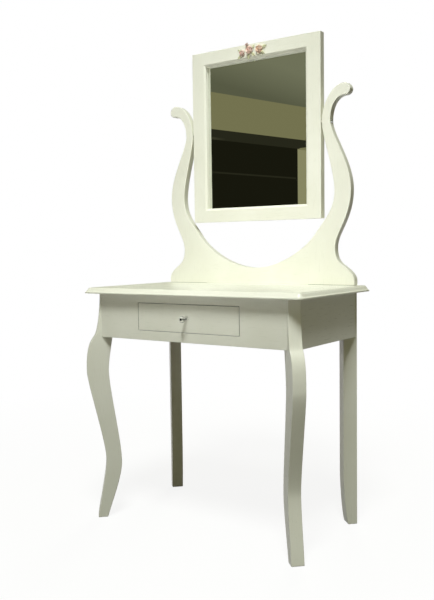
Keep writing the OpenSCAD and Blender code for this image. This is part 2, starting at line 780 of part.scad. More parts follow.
// A pointed leaf: where two discs overlap, with its stem end at the origin
module leaf(l) linear_extrude(leaf_t) translate([l / 2, 0]) intersection() {
    translate([0, -l * 0.4]) circle(r = l * 0.64);
    translate([0, l * 0.4]) circle(r = l * 0.64);
}

module rose_leaves() color("olivedrab") difference() {
    for (f = leaves) on_rail(f[0], f[1]) rotate([0, 0, f[2]]) leaf(f[3]);
    for (f = flowers) on_rail(f[0], f[1]) cylinder(r = f[2], h = leaf_t + eps);
}

// ---------------------------------------------------------------- nodes

table_top();
front_apron();
back_apron();
side_apron_left();
side_apron_right();
leg_front_left();
leg_front_right();
leg_rear_left();
leg_rear_right();
corner_block_front_left();
corner_block_front_right();
corner_block_rear_left();
corner_block_rear_right();
leg_bolts();
leg_bolt_washers();
leg_bolt_nuts();
corner_block_screws();
top_cleat_left();
top_cleat_right();
top_cleat_screws();
drawer_runner_left();
drawer_runner_right();
drawer_kicker_left();
drawer_kicker_right();
guide_dowels();
drawer_stops();
drawer_front();
drawer_side_left();
drawer_side_right();
drawer_back();
drawer_bottom();
drawer_knob();
knob_screw();
knob_nut();
stand_base();
stand_upright_left();
stand_upright_right();
stand_dowels();
stand_plates();
stand_plate_screws();
mirror_stile_left();
mirror_stile_right();
mirror_rail_upper();
mirror_rail_lower();
mirror_frame_dowels();
mirror_glass();
mirror_back_board();
back_board_clips();
clip_screws();
pivot_bolt_left();
pivot_bolt_right();
pivot_insert_left();
pivot_insert_right();
pivot_washer_left();
pivot_washer_right();
rose_flowers();
rose_leaves();
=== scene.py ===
"""Looks of a painted vanity table with a swing mirror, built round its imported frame.

Every painted board is a copy of its design solid with its corners eased, and the small turned
and cast pieces are modelled here. Sizes named *_mm are millimetres, places are metres.
"""

from __future__ import annotations

import json
import logging
import math
from collections.abc import Callable, Iterable, Sequence
from dataclasses import dataclass
from enum import Enum

import bmesh
import bpy
from mathutils import Matrix, Vector

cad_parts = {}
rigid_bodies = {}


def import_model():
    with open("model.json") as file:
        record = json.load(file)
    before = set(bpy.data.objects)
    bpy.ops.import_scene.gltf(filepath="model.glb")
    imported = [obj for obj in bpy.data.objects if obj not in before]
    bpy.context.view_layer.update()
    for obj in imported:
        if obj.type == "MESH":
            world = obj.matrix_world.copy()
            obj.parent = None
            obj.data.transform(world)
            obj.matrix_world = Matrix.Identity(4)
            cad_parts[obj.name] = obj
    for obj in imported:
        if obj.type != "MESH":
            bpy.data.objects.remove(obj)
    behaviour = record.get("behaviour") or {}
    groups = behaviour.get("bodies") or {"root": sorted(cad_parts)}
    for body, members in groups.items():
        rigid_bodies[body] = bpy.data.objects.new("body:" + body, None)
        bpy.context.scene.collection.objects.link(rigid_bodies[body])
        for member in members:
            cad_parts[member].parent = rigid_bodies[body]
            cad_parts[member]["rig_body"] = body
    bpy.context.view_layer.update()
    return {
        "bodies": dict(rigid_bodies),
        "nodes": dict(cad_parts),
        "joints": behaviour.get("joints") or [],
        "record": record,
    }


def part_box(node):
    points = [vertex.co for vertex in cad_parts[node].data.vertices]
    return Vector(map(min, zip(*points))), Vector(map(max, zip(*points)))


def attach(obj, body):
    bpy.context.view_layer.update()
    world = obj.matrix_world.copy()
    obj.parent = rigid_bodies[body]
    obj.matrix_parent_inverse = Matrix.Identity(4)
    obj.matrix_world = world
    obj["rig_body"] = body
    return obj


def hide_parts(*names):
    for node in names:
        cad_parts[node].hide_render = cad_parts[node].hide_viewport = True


LOG = logging.getLogger("vanity_table")
MM = 0.001


# ---------------------------------------------------------------------------
# Modelling helpers
# ---------------------------------------------------------------------------


class EditSession:
    """Edit mode on one piece, entered with nothing selected."""

    def __init__(self, piece: bpy.types.Object, mode: str = "EDGE") -> None:
        """Keep the piece and the kind of element to select.

        Args:
            piece: The mesh object to shape.
            mode: VERT, EDGE or FACE.
        """
        self.piece = piece
        self.mode = mode

    def __enter__(self) -> EditSession:
        """Enter edit mode on the piece alone."""
        make_active(self.piece)
        bpy.ops.object.mode_set(mode="EDIT")
        bpy.ops.mesh.select_mode(type=self.mode)
        bpy.ops.mesh.select_all(action="DESELECT")
        return self

    def __exit__(self, *_: object) -> None:
        """Go back to object mode."""
        bpy.ops.object.mode_set(mode="OBJECT")

    def mesh(self) -> bmesh.types.BMesh:
        """Return the mesh that is being edited."""
        return bmesh.from_edit_mesh(self.piece.data)

    def pick(self, test: Callable[[object], bool]) -> int:
        """Select the vertices, edges or faces that pass a test, and nothing else.

        Args:
            test: Says whether an element is wanted.

        Returns:
            How many elements are selected.
        """
        bpy.ops.mesh.select_all(action="DESELECT")
        mesh = self.mesh()
        elements = {"VERT": mesh.verts, "EDGE": mesh.edges, "FACE": mesh.faces}[self.mode]
        chosen = [element for element in elements if test(element)]
        for element in chosen:
            element.select_set(True)
        bmesh.update_edit_mesh(self.piece.data)
        return len(chosen)


def make_active(piece: bpy.types.Object) -> None:
    """Select one object alone and make it the active one."""
    bpy.ops.object.select_all(action="DESELECT")
    piece.select_set(True)
    bpy.context.view_layer.objects.active = piece


def primitive(add: Callable[..., set], name: str, **settings: object) -> bpy.types.Object:
    """Add a primitive and give it a name.

    Args:
        add: The operator that adds it.
        name: Name of the new object.
        settings: Sizes and place of the primitive.

    Returns:
        The new object.
    """
    bpy.ops.object.select_all(action="DESELECT")
    add(**settings)
    piece = bpy.context.active_object
    piece.name = name
    piece.data.name = name
    return piece


def apply_modifier(piece: bpy.types.Object, kind: str, **settings: object) -> None:
    """Add a modifier with its settings and apply it.

    Args:
        piece: The object to change.
        kind: The modifier's type.
        settings: The modifier's own properties.
    """
    make_active(piece)
    modifier = piece.modifiers.new(kind.lower(), kind)
    for key, value in settings.items():
        setattr(modifier, key, value)
    bpy.ops.object.modifier_apply(modifier=modifier.name)


def settle(piece: bpy.types.Object, place: Matrix | None = None) -> bpy.types.Object:
    """Move an object's place into its mesh, so that the object sits at the origin.

    Args:
        piece: The object to settle.
        place: Where to put it first, when it was made at the origin.

    Returns:
        The same object.
    """
    if place is not None:
        piece.matrix_world = place @ piece.matrix_world
    make_active(piece)
    bpy.ops.object.transform_apply(location=True, rotation=True, scale=True)
    return piece


def outward(piece: bpy.types.Object) -> None:
    """Merge doubled vertices and turn every face outwards."""
    with EditSession(piece, "VERT"):
        bpy.ops.mesh.select_all(action="SELECT")
        bpy.ops.mesh.remove_doubles(threshold=1e-6)
        bpy.ops.mesh.normals_make_consistent(inside=False)


def smooth(piece: bpy.types.Object, degrees: float = 35.0) -> None:
    """Shade a piece smooth, with edges sharper than an angle left crisp."""
    make_active(piece)
    bpy.ops.object.shade_smooth_by_angle(angle=math.radians(degrees))


def copy_of(piece: bpy.types.Object, name: str, place: Matrix) -> bpy.types.Object:
    """Copy an object with a mesh of its own and settle the copy at a place.

    Args:
        piece: The model to copy.
        name: Name of the copy.
        place: Where the copy goes.

    Returns:
        The copy, settled.
    """
    twin = piece.copy()
    twin.data = piece.data.copy()
    twin.name = name
    bpy.context.scene.collection.objects.link(twin)
    return settle(twin, place)


def joined(pieces: Sequence[bpy.types.Object], name: str) -> bpy.types.Object:
    """Join objects into the first one and name it."""
    make_active(pieces[0])
    for piece in pieces:
        piece.select_set(True)
    if len(pieces) > 1:
        bpy.ops.object.join()
    pieces[0].name = name
    pieces[0].data.name = name
    return pieces[0]


def finish_piece(
    piece: bpy.types.Object, body: str, material: bpy.types.Material, nodes: Iterable[str] = ()
) -> None:
    """Dress a piece, tie it to its body and hide the design solids that it stands for.

    Args:
        piece: The finished mesh object.
        body: The body it moves with.
        material: Its material.
        nodes: Names of the design solids that it replaces.
    """
    piece.data.materials.clear()
    piece.data.materials.append(material)
    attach(piece, body)
    if nodes:
        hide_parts(*nodes)
    LOG.info("%s rides on %s with %d faces", piece.name, body, len(piece.data.polygons))


def turned(
    name: str, outline: Sequence[tuple[float, float]], sides: int = 32, bored: bool = False
) -> bpy.types.Object:
    """Turn an outline round the Z axis, as on a lathe.

    Args:
        name: Name of the new object.
        outline: Points (radius, height) in millimetres, from one end to the other.
        sides: Facets round the axis.
        bored: Whether the outline closes on itself round a bore, instead of at its two ends.

    Returns:
        The turned piece, still shaded flat.
    """
    points = [(radius * MM, height * MM) for radius, height in outline]
    points += points[:1] if bored else []
    radius, height = points[0]
    ring = bpy.ops.mesh.primitive_circle_add
    piece = primitive(ring, name, vertices=sides, radius=radius, fill_type="NOTHING")
    settle(piece, Matrix.Translation((0.0, 0.0, height)))
    with EditSession(piece, "EDGE"):
        bpy.ops.mesh.select_all(action="SELECT")
        for next_radius, next_height in points[1:]:
            rise, growth = next_height - height, next_radius / radius
            bpy.ops.mesh.extrude_edges_move(TRANSFORM_OT_translate={"value": (0.0, 0.0, rise)})
            bpy.ops.transform.resize(value=(growth, growth, 1.0), center_override=(0.0, 0.0, next_height))
            radius, height = next_radius, next_height
        bpy.ops.mesh.select_all(action="SELECT")
        if not bored:
            bpy.ops.mesh.fill_holes(sides=0)
    outward(piece)
    return piece


def cut_away(piece: bpy.types.Object, cutter: bpy.types.Object) -> None:
    """Cut one shape out of a piece and remove the cutter."""
    apply_modifier(piece, "BOOLEAN", object=cutter, operation="DIFFERENCE", solver="EXACT")
    bpy.data.objects.remove(cutter)


def scaled(x: float, y: float, z: float) -> Matrix:
    """Return a matrix that scales along the three axes."""
    return Matrix.Diagonal((x, y, z, 1.0))


def facing(out: Vector) -> Matrix:
    """Return the turn that takes +Z to a direction."""
    return Vector((0.0, 0.0, 1.0)).rotation_difference(out).to_matrix().to_4x4()


@dataclass(frozen=True)
class Seat:
    """Where one fastener stands: the middle of its head's outer face, and the way that it looks."""

    place: Vector
    out: Vector

    def matrix(self) -> Matrix:
        """Return the place of a fastener whose head faces +Z at the origin."""
        return Matrix.Translation(self.place) @ facing(self.out)


def islands(mesh: bpy.types.Mesh) -> list[list[Vector]]:
    """Return the points of each separate solid in a mesh."""
    whole = bmesh.new()
    whole.from_mesh(mesh)
    bmesh.ops.remove_doubles(whole, verts=whole.verts, dist=1e-6)
    unseen = set(whole.verts)
    found = []
    while unseen:
        open_ends = [unseen.pop()]
        points = []
        while open_ends:
            vert = open_ends.pop()
            points.append(vert.co.copy())
            near = {edge.other_vert(vert) for edge in vert.link_edges} & unseen
            unseen -= near
            open_ends.extend(near)
        found.append(points)
    whole.free()
    return sorted(found, key=lambda points: tuple(round(c, 4) for c in sum(points, Vector()) / len(points)))


def seats_of(frame: dict, node: str) -> list[Seat]:
    """Find where every fastener of a design node stands, from the shape of its solids.

    Args:
        frame: The loaded frame.
        node: A node that holds straight fasteners, each along X, Y or Z.

    Returns:
        One seat for each fastener.
    """
    seats = []
    for points in islands(frame["nodes"][node].data):
        low = Vector([min(point[i] for point in points) for i in range(3)])
        high = Vector([max(point[i] for point in points) for i in range(3)])
        middle, size = (low + high) / 2, high - low
        axis = max(range(3), key=lambda i: size[i])
        spread = [math.hypot(*[(p - middle)[i] for i in range(3) if i != axis]) for p in points]
        rim = [point[axis] for point, reach in zip(points, spread) if reach > 0.9 * max(spread)]
        out = Vector((0.0, 0.0, 0.0))
        out[axis] = 1.0 if sum(rim) / len(rim) > middle[axis] else -1.0
        seats.append(Seat(middle + out * size[axis] / 2, out))
    return seats


# ---------------------------------------------------------------------------
# Material helpers
# ---------------------------------------------------------------------------


def linear(hex_colour: str, alpha: float = 1.0) -> tuple[float, float, float, float]:
    """Turn an sRGB hex colour such as #f0eee0 into a linear colour."""
    values = [int(hex_colour[i : i + 2], 16) / 255 for i in (1, 3, 5)]
    red, green, blue = (v / 12.92 if v <= 0.04045 else ((v + 0.055) / 1.055) ** 2.4 for v in values)
    return red, green, blue, alpha


def add_node(
    tree: bpy.types.NodeTree,
    kind: str,
    values: dict[int | str, object] | None = None,
    links: dict[int | str, bpy.types.NodeSocket] | None = None,
    **settings: object,
) -> bpy.types.Node:
    """Add a node with its settings, socket values and links.

    Args:
        tree: The node tree to add to.
        kind: The node's type name.
        values: Values of unlinked inputs, by socket name or number.
        links: The outputs that feed its inputs, by socket name or number.
        settings: The node's own properties.

    Returns:
        The new node.
    """
    node = tree.nodes.new(kind)
    for key, value in settings.items():
        setattr(node, key, value)
    for key, value in (values or {}).items():
        node.inputs[key].default_value = value
    for key, source in (links or {}).items():
        tree.links.new(source, node.inputs[key])
    return node


def new_tree(name: str) -> tuple[bpy.types.Material, bpy.types.NodeTree]:
    """Make an empty node material and return it with its tree."""
    material = bpy.data.materials.new(name)
    material.use_nodes = True
    material.node_tree.nodes.clear()
    return material, material.node_tree


def surface(tree: bpy.types.NodeTree, shader: bpy.types.Node) -> None:
    """Send a shader to the tree's output."""
    add_node(tree, "ShaderNodeOutputMaterial", links={"Surface": shader.outputs[0]})


Colour = tuple[float, float, float, float] | bpy.types.NodeSocket
COLOUR_A, COLOUR_B, MIXED_COLOUR = 6, 7, 2  # sockets of a Mix node that mixes colours


def blended(
    tree: bpy.types.NodeTree, factor: bpy.types.NodeSocket, low: Colour, high: Colour
) -> bpy.types.NodeSocket:
    """Mix two colours, each a value or a socket, and return the colour socket."""
    values, links = {}, {0: factor}
    for socket, colour in ((COLOUR_A, low), (COLOUR_B, high)):
        (links if isinstance(colour, bpy.types.NodeSocket) else values)[socket] = colour
    return add_node(tree, "ShaderNodeMix", values, links, data_type="RGBA").outputs[MIXED_COLOUR]


LIP = "lip"  # point attribute: how far a point lies from a piece's heart, 0 to 1


def painted_reach(piece: bpy.types.Object, reach: Callable[[Vector], float]) -> None:
    """Store how far each point lies from the heart of a piece towards its lip, for the tinting, which on the
    resin pieces paints shade at the heart and a highlight at the lip.

    Args:
        piece: The piece to mark.
        reach: Gives 0 at the heart, the rib or the shank, and 1 at the lip or the head.
    """
    attribute = piece.data.attributes.new(LIP, "FLOAT", "POINT")
    for number, vert in enumerate(piece.data.vertices):
        attribute.data[number].value = min(1.0, max(0.0, reach(vert.co)))


class Grain(Enum):
    """The way that a board's length runs, with how a pattern is stretched along it."""

    ALONG_X = (0.06, 1.0, 1.0)
    ALONG_Y = (1.0, 0.06, 1.0)
    ALONG_Z = (1.0, 1.0, 0.06)


def object_place(tree: bpy.types.NodeTree) -> bpy.types.NodeSocket:
    """Return the place on the object, in metres."""
    return add_node(tree, "ShaderNodeTexCoord").outputs["Object"]


def stretched(tree: bpy.types.NodeTree, grain: Grain) -> bpy.types.NodeSocket:
    """Return object coordinates drawn out along a board's grain."""
    links = {"Vector": object_place(tree)}
    return add_node(tree, "ShaderNodeMapping", {"Scale": grain.value}, links).outputs[0]


def ranged(
    tree: bpy.types.NodeTree, source: bpy.types.NodeSocket, span: tuple[float, float, float, float]
) -> bpy.types.NodeSocket:
    """Map a value from one range to another: (from low, from high, to low, to high)."""
    keys = ("From Min", "From Max", "To Min", "To Max")
    return add_node(tree, "ShaderNodeMapRange", dict(zip(keys, span)), {"Value": source}).outputs[0]


def noise(
    tree: bpy.types.NodeTree, vector: bpy.types.NodeSocket, size_mm: float, detail: float = 2.0
) -> bpy.types.NodeSocket:
    """Return a noise value whose lumps are about size_mm across."""
    values = {"Scale": 1.0 / (size_mm * MM), "Detail": detail, "Roughness": 0.55}
    return add_node(tree, "ShaderNodeTexNoise", values, {"Vector": vector}).outputs[0]


# ---------------------------------------------------------------------------
# Finishes
# ---------------------------------------------------------------------------


@dataclass(frozen=True)
class PaintFinish:
    """Antique-white alkyd enamel, brushed on sanded wood and rubbed down between coats.

    It levels almost flat, so the eye gets a creamy satin sheen, faint brush lines along each board
    and a slow drift in tone where the coat is thicker. Narrow gaps are darkened as painted shade.
    """

    thick_coat: str = "#f1f1e3"
    thin_coat: str = "#ebebdb"
    roughness: float = 0.3
    brush_line_mm: float = 2.6  # real lines are about 0.6 mm apart, drawn coarser so that they show
    relief_mm: float = 0.05
    # painted shade: the colour that the enamel darkens to in narrow gaps
    gap_shade: str = "#5d5a48"
    gap_mm: float = 4.0  # how far the shading looks for a facing surface that makes a gap
    unshaded_mm: float = 11.0  # radius of the spot behind the knob that is left without painted gap shade

    def openness(self, tree: bpy.types.NodeTree, place: bpy.types.NodeSocket) -> bpy.types.NodeSocket:
        """Return 1 on open paint and less in narrow gaps, where shade is painted in, except on a spot behind
        the clear knob.
        """
        values = {"Distance": self.gap_mm * MM}
        opening = add_node(tree, "ShaderNodeAmbientOcclusion", values, samples=8).outputs["AO"]
        low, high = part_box("drawer_knob")
        spot = ((low.x + high.x) / 2, high.y, (low.z + high.z) / 2)
        away = add_node(tree, "ShaderNodeVectorMath", {1: spot}, {0: place}, operation="DISTANCE")
        unshaded = ranged(tree, away.outputs["Value"], (self.unshaded_mm * MM, 1.2 * self.unshaded_mm * MM, 1.0, 0.0))
        return add_node(tree, "ShaderNodeMath", links={0: opening, 1: unshaded}, operation="MAXIMUM").outputs[0]

    def material(self, grain: Grain) -> bpy.types.Material:
        """Return the enamel with its brush lines along a board's grain."""
        material, tree = new_tree(f"white_enamel_{grain.name.lower()}")
        along = stretched(tree, grain)
        place = object_place(tree)
        drift = noise(tree, place, 160.0, 3.0)
        lines = noise(tree, along, self.brush_line_mm, 3.0)
        stipple = noise(tree, place, 1.4, 1.0)
        thickness = ranged(tree, drift, (0.3, 0.7, 0.0, 1.0))
        coat = blended(tree, thickness, linear(self.thin_coat), linear(self.thick_coat))
        opening = self.openness(tree, place)
        # painted shade: the enamel darkens where the ambient-occlusion node finds a narrow gap
        colour = blended(tree, ranged(tree, opening, (0.15, 0.6, 0.0, 1.0)), linear(self.gap_shade), coat)
        sheen = ranged(tree, lines, (0.3, 0.7, self.roughness - 0.04, self.roughness + 0.05))
        height = add_node(tree, "ShaderNodeMath", {1: 0.35}, {0: stipple, 2: lines}, operation="MULTIPLY_ADD")
        relief = {"Strength": 0.35, "Distance": self.relief_mm * MM}
        bump = add_node(tree, "ShaderNodeBump", relief, {"Height": height.outputs[0]})
        shader = add_node(
            tree,
            "ShaderNodeBsdfPrincipled",
            {"IOR": 1.5},
            {"Base Color": colour, "Roughness": sheen, "Normal": bump.outputs[0]},
        )
        surface(tree, shader)
        return material


@dataclass(frozen=True)
class PineFinish:
    """Planed pine left bare: honey early wood with darker late-wood lines and a dry, fibrous surface."""

    early_wood: str = "#dcb98a"
    late_wood: str = "#b98a55"
    ring_mm: float = 5.0
    fibre_mm: float = 0.9
    roughness: float = 0.62

    def material(self, grain: Grain) -> bpy.types.Material:
        """Return the bare wood with its rings along a board's grain."""
        material, tree = new_tree(f"bare_pine_{grain.name.lower()}")
        along = stretched(tree, grain)
        rings_a_metre = math.pi / 10 / (self.ring_mm * MM)
        figure = {"Scale": rings_a_metre, "Distortion": 3.5, "Detail": 2.0, "Detail Scale": 1.2}
        bands = {"wave_type": "BANDS", "bands_direction": "DIAGONAL"}
        rings = add_node(tree, "ShaderNodeTexWave", figure, {"Vector": along}, **bands).outputs["Fac"]
        fibres = noise(tree, along, self.fibre_mm, 3.0)
        late = ranged(tree, rings, (0.45, 1.0, 0.0, 0.8))
        base = blended(tree, late, linear(self.early_wood), linear(self.late_wood))
        colour = blended(tree, ranged(tree, fibres, (0.35, 0.75, 0.0, 0.35)), base, linear(self.late_wood))
        bump = add_node(tree, "ShaderNodeBump", {"Strength": 0.4, "Distance": 0.08 * MM}, {"Height": fibres})
        shader = add_node(
            tree,
            "ShaderNodeBsdfPrincipled",
            {"Roughness": self.roughness, "IOR": 1.45},
            {"Base Color": colour, "Normal": bump.outputs[0]},
        )
        surface(tree, shader)
        return material


@dataclass(frozen=True)
class HardboardFinish:
    """Tempered hardboard: pressed brown fibre with pale flecks and a dull burnish."""

    fibre: str = "#6d4a2c"
    fleck: str = "#8f6a44"
    fleck_mm: float = 2.2
    roughness: float = 0.48

    def material(self) -> bpy.types.Material:
        """Return the board."""
        material, tree = new_tree("tempered_hardboard")
        place = object_place(tree)
        flecks = noise(tree, place, self.fleck_mm, 4.0)
        flecked = ranged(tree, flecks, (0.42, 0.7, 0.0, 1.0))
        colour = blended(tree, flecked, linear(self.fibre), linear(self.fleck))
        bump = add_node(tree, "ShaderNodeBump", {"Strength": 0.3, "Distance": 0.06 * MM}, {"Height": flecks})
        shader = add_node(
            tree,
            "ShaderNodeBsdfPrincipled",
            {"Roughness": self.roughness},
            {"Base Color": colour, "Normal": bump.outputs[0]},
        )
        surface(tree, shader)
        return material


@dataclass(frozen=True)
class MetalFinish:
    """A small metal part, with the clouding that its plating or casting leaves."""

    name: str
    colour: str
    cloud: str
    roughness: float
    cloud_mm: float = 3.0
    blackened: str = ""  # colour of the part that is oxidised black, where there is one

    def material(self) -> bpy.types.Material:
        """Return the metal."""
        material, tree = new_tree(self.name)
        place = object_place(tree)
        clouds = noise(tree, place, self.cloud_mm, 3.0)
        colour = blended(tree, clouds, linear(self.colour), linear(self.cloud))
        if self.blackened:
            reach = add_node(tree, "ShaderNodeAttribute", attribute_name=LIP).outputs["Fac"]
            colour = blended(tree, reach, colour, linear(self.blackened))
        sheen = ranged(tree, clouds, (0.3, 0.7, self.roughness - 0.05, self.roughness + 0.08))
        scratches = noise(tree, place, 0.4, 2.0)
        relief = {"Strength": 0.15, "Distance": 0.02 * MM}
        bump = add_node(tree, "ShaderNodeBump", relief, {"Height": scratches})
        shader = add_node(
            tree,
            "ShaderNodeBsdfPrincipled",
            {"Metallic": 1.0},
            {"Base Color": colour, "Roughness": sheen, "Normal": bump.outputs[0]},
        )
        surface(tree, shader)
        return material


ZINC = MetalFinish("bright_zinc_plate", "#c9cac6", "#b4b6b4", 0.3)
BRASS = MetalFinish("turned_brass", "#d6ad62", "#c69a50", 0.25)


@dataclass(frozen=True)
class MirrorFinish:
    """Float glass silvered on its back: a near-perfect reflection, dulled a little by handling."""

    silver: str = "#f2f4f0"
    haze: float = 0.012
    smudge_mm: float = 45.0

    def material(self) -> bpy.types.Material:
        """Return the mirror."""
        material, tree = new_tree("silvered_float_glass")
        smudge = noise(tree, object_place(tree), self.smudge_mm, 2.0)
        sheen = ranged(tree, smudge, (0.45, 0.75, 0.0, self.haze))
        shader = add_node(
            tree,
            "ShaderNodeBsdfPrincipled",
            {"Base Color": linear(self.silver), "Metallic": 1.0},
            {"Roughness": sheen},
        )
        surface(tree, shader)
        return material


@dataclass(frozen=True)
class AcrylicFinish:
    """Cast acrylic with polished facets: clear as glass, with hairline scuffs.

    Its share of plain see-through lets light reach the paint behind it, as the clear plastic does.
    """

    tint: str = "#fdfefd"
    solid_share: float = 0.5  # the rest passes light straight through
    scuff_mm: float = 1.2

    def material(self) -> bpy.types.Material:
        """Return the acrylic."""
        material, tree = new_tree("polished_acrylic")
        scuffs = noise(tree, object_place(tree), self.scuff_mm, 3.0)
        shader = add_node(
            tree,
            "ShaderNodeBsdfPrincipled",
            {
                "Base Color": linear(self.tint),
                "IOR": 1.49,
                "Transmission Weight": 1.0,
                "Alpha": self.solid_share,
            },
            {"Roughness": ranged(tree, scuffs, (0.5, 0.8, 0.01, 0.1))},
        )
        surface(tree, shader)
        return material


@dataclass(frozen=True)
class NylonFinish:
    """Moulded natural nylon: milky, a little waxy, with a fine mould texture."""

    body: str = "#ece7d8"
    worn: str = "#ddd6c2"

    def material(self) -> bpy.types.Material:
        """Return the nylon."""
        material, tree = new_tree("moulded_nylon")
        texture = noise(tree, object_place(tree), 0.8, 2.0)
        bump = add_node(tree, "ShaderNodeBump", {"Strength": 0.2, "Distance": 0.03 * MM}, {"Height": texture})
        colour = blended(tree, texture, linear(self.body), linear(self.worn))
        shader = add_node(
            tree,
            "ShaderNodeBsdfPrincipled",
            {"Roughness": 0.42, "IOR": 1.53},
            {"Base Color": colour, "Normal": bump.outputs[0]},
        )
        surface(tree, shader)
        return material


@dataclass(frozen=True)
class ResinFinish:
    """Cast resin tinted by hand: its own colour on the face, painted shade towards each petal's heart and
    each leaf's rib, and a painted highlight at the pale lip.
    """

    name: str
    # painted shade: the dark colour towards the heart and the rib
    shaded_fold: str
    face: str
    # painted highlight: the pale colour at the lip
    lip: str
    ragged_shade_mm: float = 4.0
    roughness: float = 0.45

    def material(self) -> bpy.types.Material:
        """Return the resin."""
        material, tree = new_tree(self.name)
        place = object_place(tree)
        reach = add_node(tree, "ShaderNodeAttribute", attribute_name=LIP).outputs["Fac"]
        ragged_shade = noise(tree, place, self.ragged_shade_mm, 3.0)
        uneven = add_node(tree, "ShaderNodeMath", {1: 0.5, 2: -0.25}, {0: ragged_shade}, operation="MULTIPLY_ADD")
        terms = {0: reach, 1: uneven.outputs[0]}
        depth = add_node(tree, "ShaderNodeMath", links=terms, operation="ADD").outputs[0]
        # painted shade towards the heart, with an uneven edge, then a painted highlight towards the lip
        inner = blended(tree, ranged(tree, depth, (0.1, 0.5, 0.0, 1.0)), linear(self.shaded_fold), linear(self.face))
        colour = blended(tree, ranged(tree, depth, (0.6, 1.0, 0.0, 1.0)), inner, linear(self.lip))
        brushed = noise(tree, place, 0.7, 3.0)
        bump = add_node(tree, "ShaderNodeBump", {"Strength": 0.3, "Distance": 0.08 * MM}, {"Height": brushed})
        shader = add_node(
            tree,
            "ShaderNodeBsdfPrincipled",
            {"Roughness": self.roughness, "IOR": 1.5},
            {"Base Color": colour, "Normal": bump.outputs[0]},
        )
        surface(tree, shader)
        return material


# ---------------------------------------------------------------------------
# Boards
# ---------------------------------------------------------------------------

HOLE_EDGE_MM = 1.15  # edges shorter than this belong to drilled holes, which stay crisp


@dataclass(frozen=True)
class Seam:
    """A glued joint that the paint hides: boards meet flush on a plane of constant x."""

    x: float

    def holds(self, edge: bmesh.types.BMEdge) -> bool:
        """Say whether an edge lies on the joint's plane, on either side of the middle."""
        return all(abs(abs(vert.co.x) - self.x) < 0.1 * MM for vert in edge.verts)


def is_corner(edge: bmesh.types.BMEdge, degrees: float) -> bool:
    """Say whether an edge is a board's long corner and not a drilled hole's rim."""
    if len(edge.link_faces) != 2 or edge.calc_length() < HOLE_EDGE_MM * MM:
        return False
    return edge.calc_face_angle(0.0) > math.radians(degrees)


@dataclass(frozen=True)
class Easing:
    """How a board's corners are rounded: width, steps, and the least angle of a corner."""

    width_mm: float
    steps: int = 4
    corner_degrees: float = 35.0
    smooth_degrees: float = 26.0
    seam: Seam | None = None


def eased_board(frame: dict, node: str, easing: Easing) -> bpy.types.Object:
    """Copy a design solid and ease its corners, as sanding and paint leave them.

    Args:
        frame: The loaded frame.
        node: Name of the design solid.
        easing: How its corners are rounded. Edges on its seam stay sharp, because paint runs over them.

    Returns:
        The board, ready to be dressed.
    """
    seam = easing.seam
    source = frame["nodes"][node]
    board = bpy.data.objects.new(f"{node}_board", source.data.copy())
    bpy.context.scene.collection.objects.link(board)
    make_active(board)
    bpy.ops.mesh.customdata_custom_splitnormals_clear()
    with EditSession(board, "EDGE") as edit:
        bpy.ops.mesh.select_all(action="SELECT")
        bpy.ops.mesh.remove_doubles(threshold=0.004 * MM)
        bpy.ops.mesh.dissolve_limited(angle_limit=math.radians(0.2))
        edit.pick(lambda edge: is_corner(edge, easing.corner_degrees) and not (seam and seam.holds(edge)))
        width = easing.width_mm * MM
        bpy.ops.mesh.bevel(
            offset=width, segments=easing.steps, profile=0.5, affect="EDGES", clamp_overlap=False
        )
    smooth(board, easing.smooth_degrees)
    apply_modifier(board, "WEIGHTED_NORMAL", mode="FACE_AREA", weight=100, keep_sharp=True)
    return board


@dataclass(frozen=True)
class BoardPlan:
    """How one kind of board is made: its design solids, easing and grain."""

    nodes: tuple[str, ...]
    easing: Easing
    grain: Grain


@dataclass
class Boards:
    """All boards of one finish."""

    slot: str
    finish: PaintFinish | PineFinish
    plans: tuple[BoardPlan, ...]

    def build(self, frame: dict) -> None:
        """Make every board and dress it."""
        materials = {grain: self.finish.material(grain) for grain in Grain}
        for plan in self.plans:
            for node in plan.nodes:
                board = eased_board(frame, node, plan.easing)
                body = frame["nodes"][node]["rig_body"]
                finish_piece(board, body, materials[plan.grain], [node])


def sides(stem: str) -> tuple[str, str]:
    """Return the names of a left and a right piece."""
    return f"{stem}_left", f"{stem}_right"


def redress(frame: dict, nodes: Iterable[str], material: bpy.types.Material) -> None:
    """Give design solids whose shape is right a better material."""
    for node in nodes:
        for slot in frame["nodes"][node].material_slots:
            slot.material = material
        LOG.info("%s keeps its shape and is dressed in %s", node, material.name)


# ---------------------------------------------------------------------------
# Studio
# ---------------------------------------------------------------------------


def glowing(
    name: str, colour: str, far_colour: str = "", span: tuple[float, float] = (0.0, 1.0)
) -> bpy.types.Material:
    """Return a material that gives off light of its own, for what a reflection shows.

    Args:
        name: Name of the material.
        colour: Its colour, as sRGB hex.
        far_colour: The colour that it turns to, or nothing where it is even.
        span: The places along X between which it turns, in metres.
    """
    material, tree = new_tree(name)
    light = add_node(tree, "ShaderNodeEmission", {"Color": linear(colour), "Strength": 1.0})
    if far_colour:
        x = add_node(tree, "ShaderNodeSeparateXYZ", links={"Vector": object_place(tree)}).outputs["X"]
        share = ranged(tree, x, (*span, 0.0, 1.0))
        tree.links.new(blended(tree, share, linear(colour), linear(far_colour)), light.inputs["Color"])
    surface(tree, light)
    return material


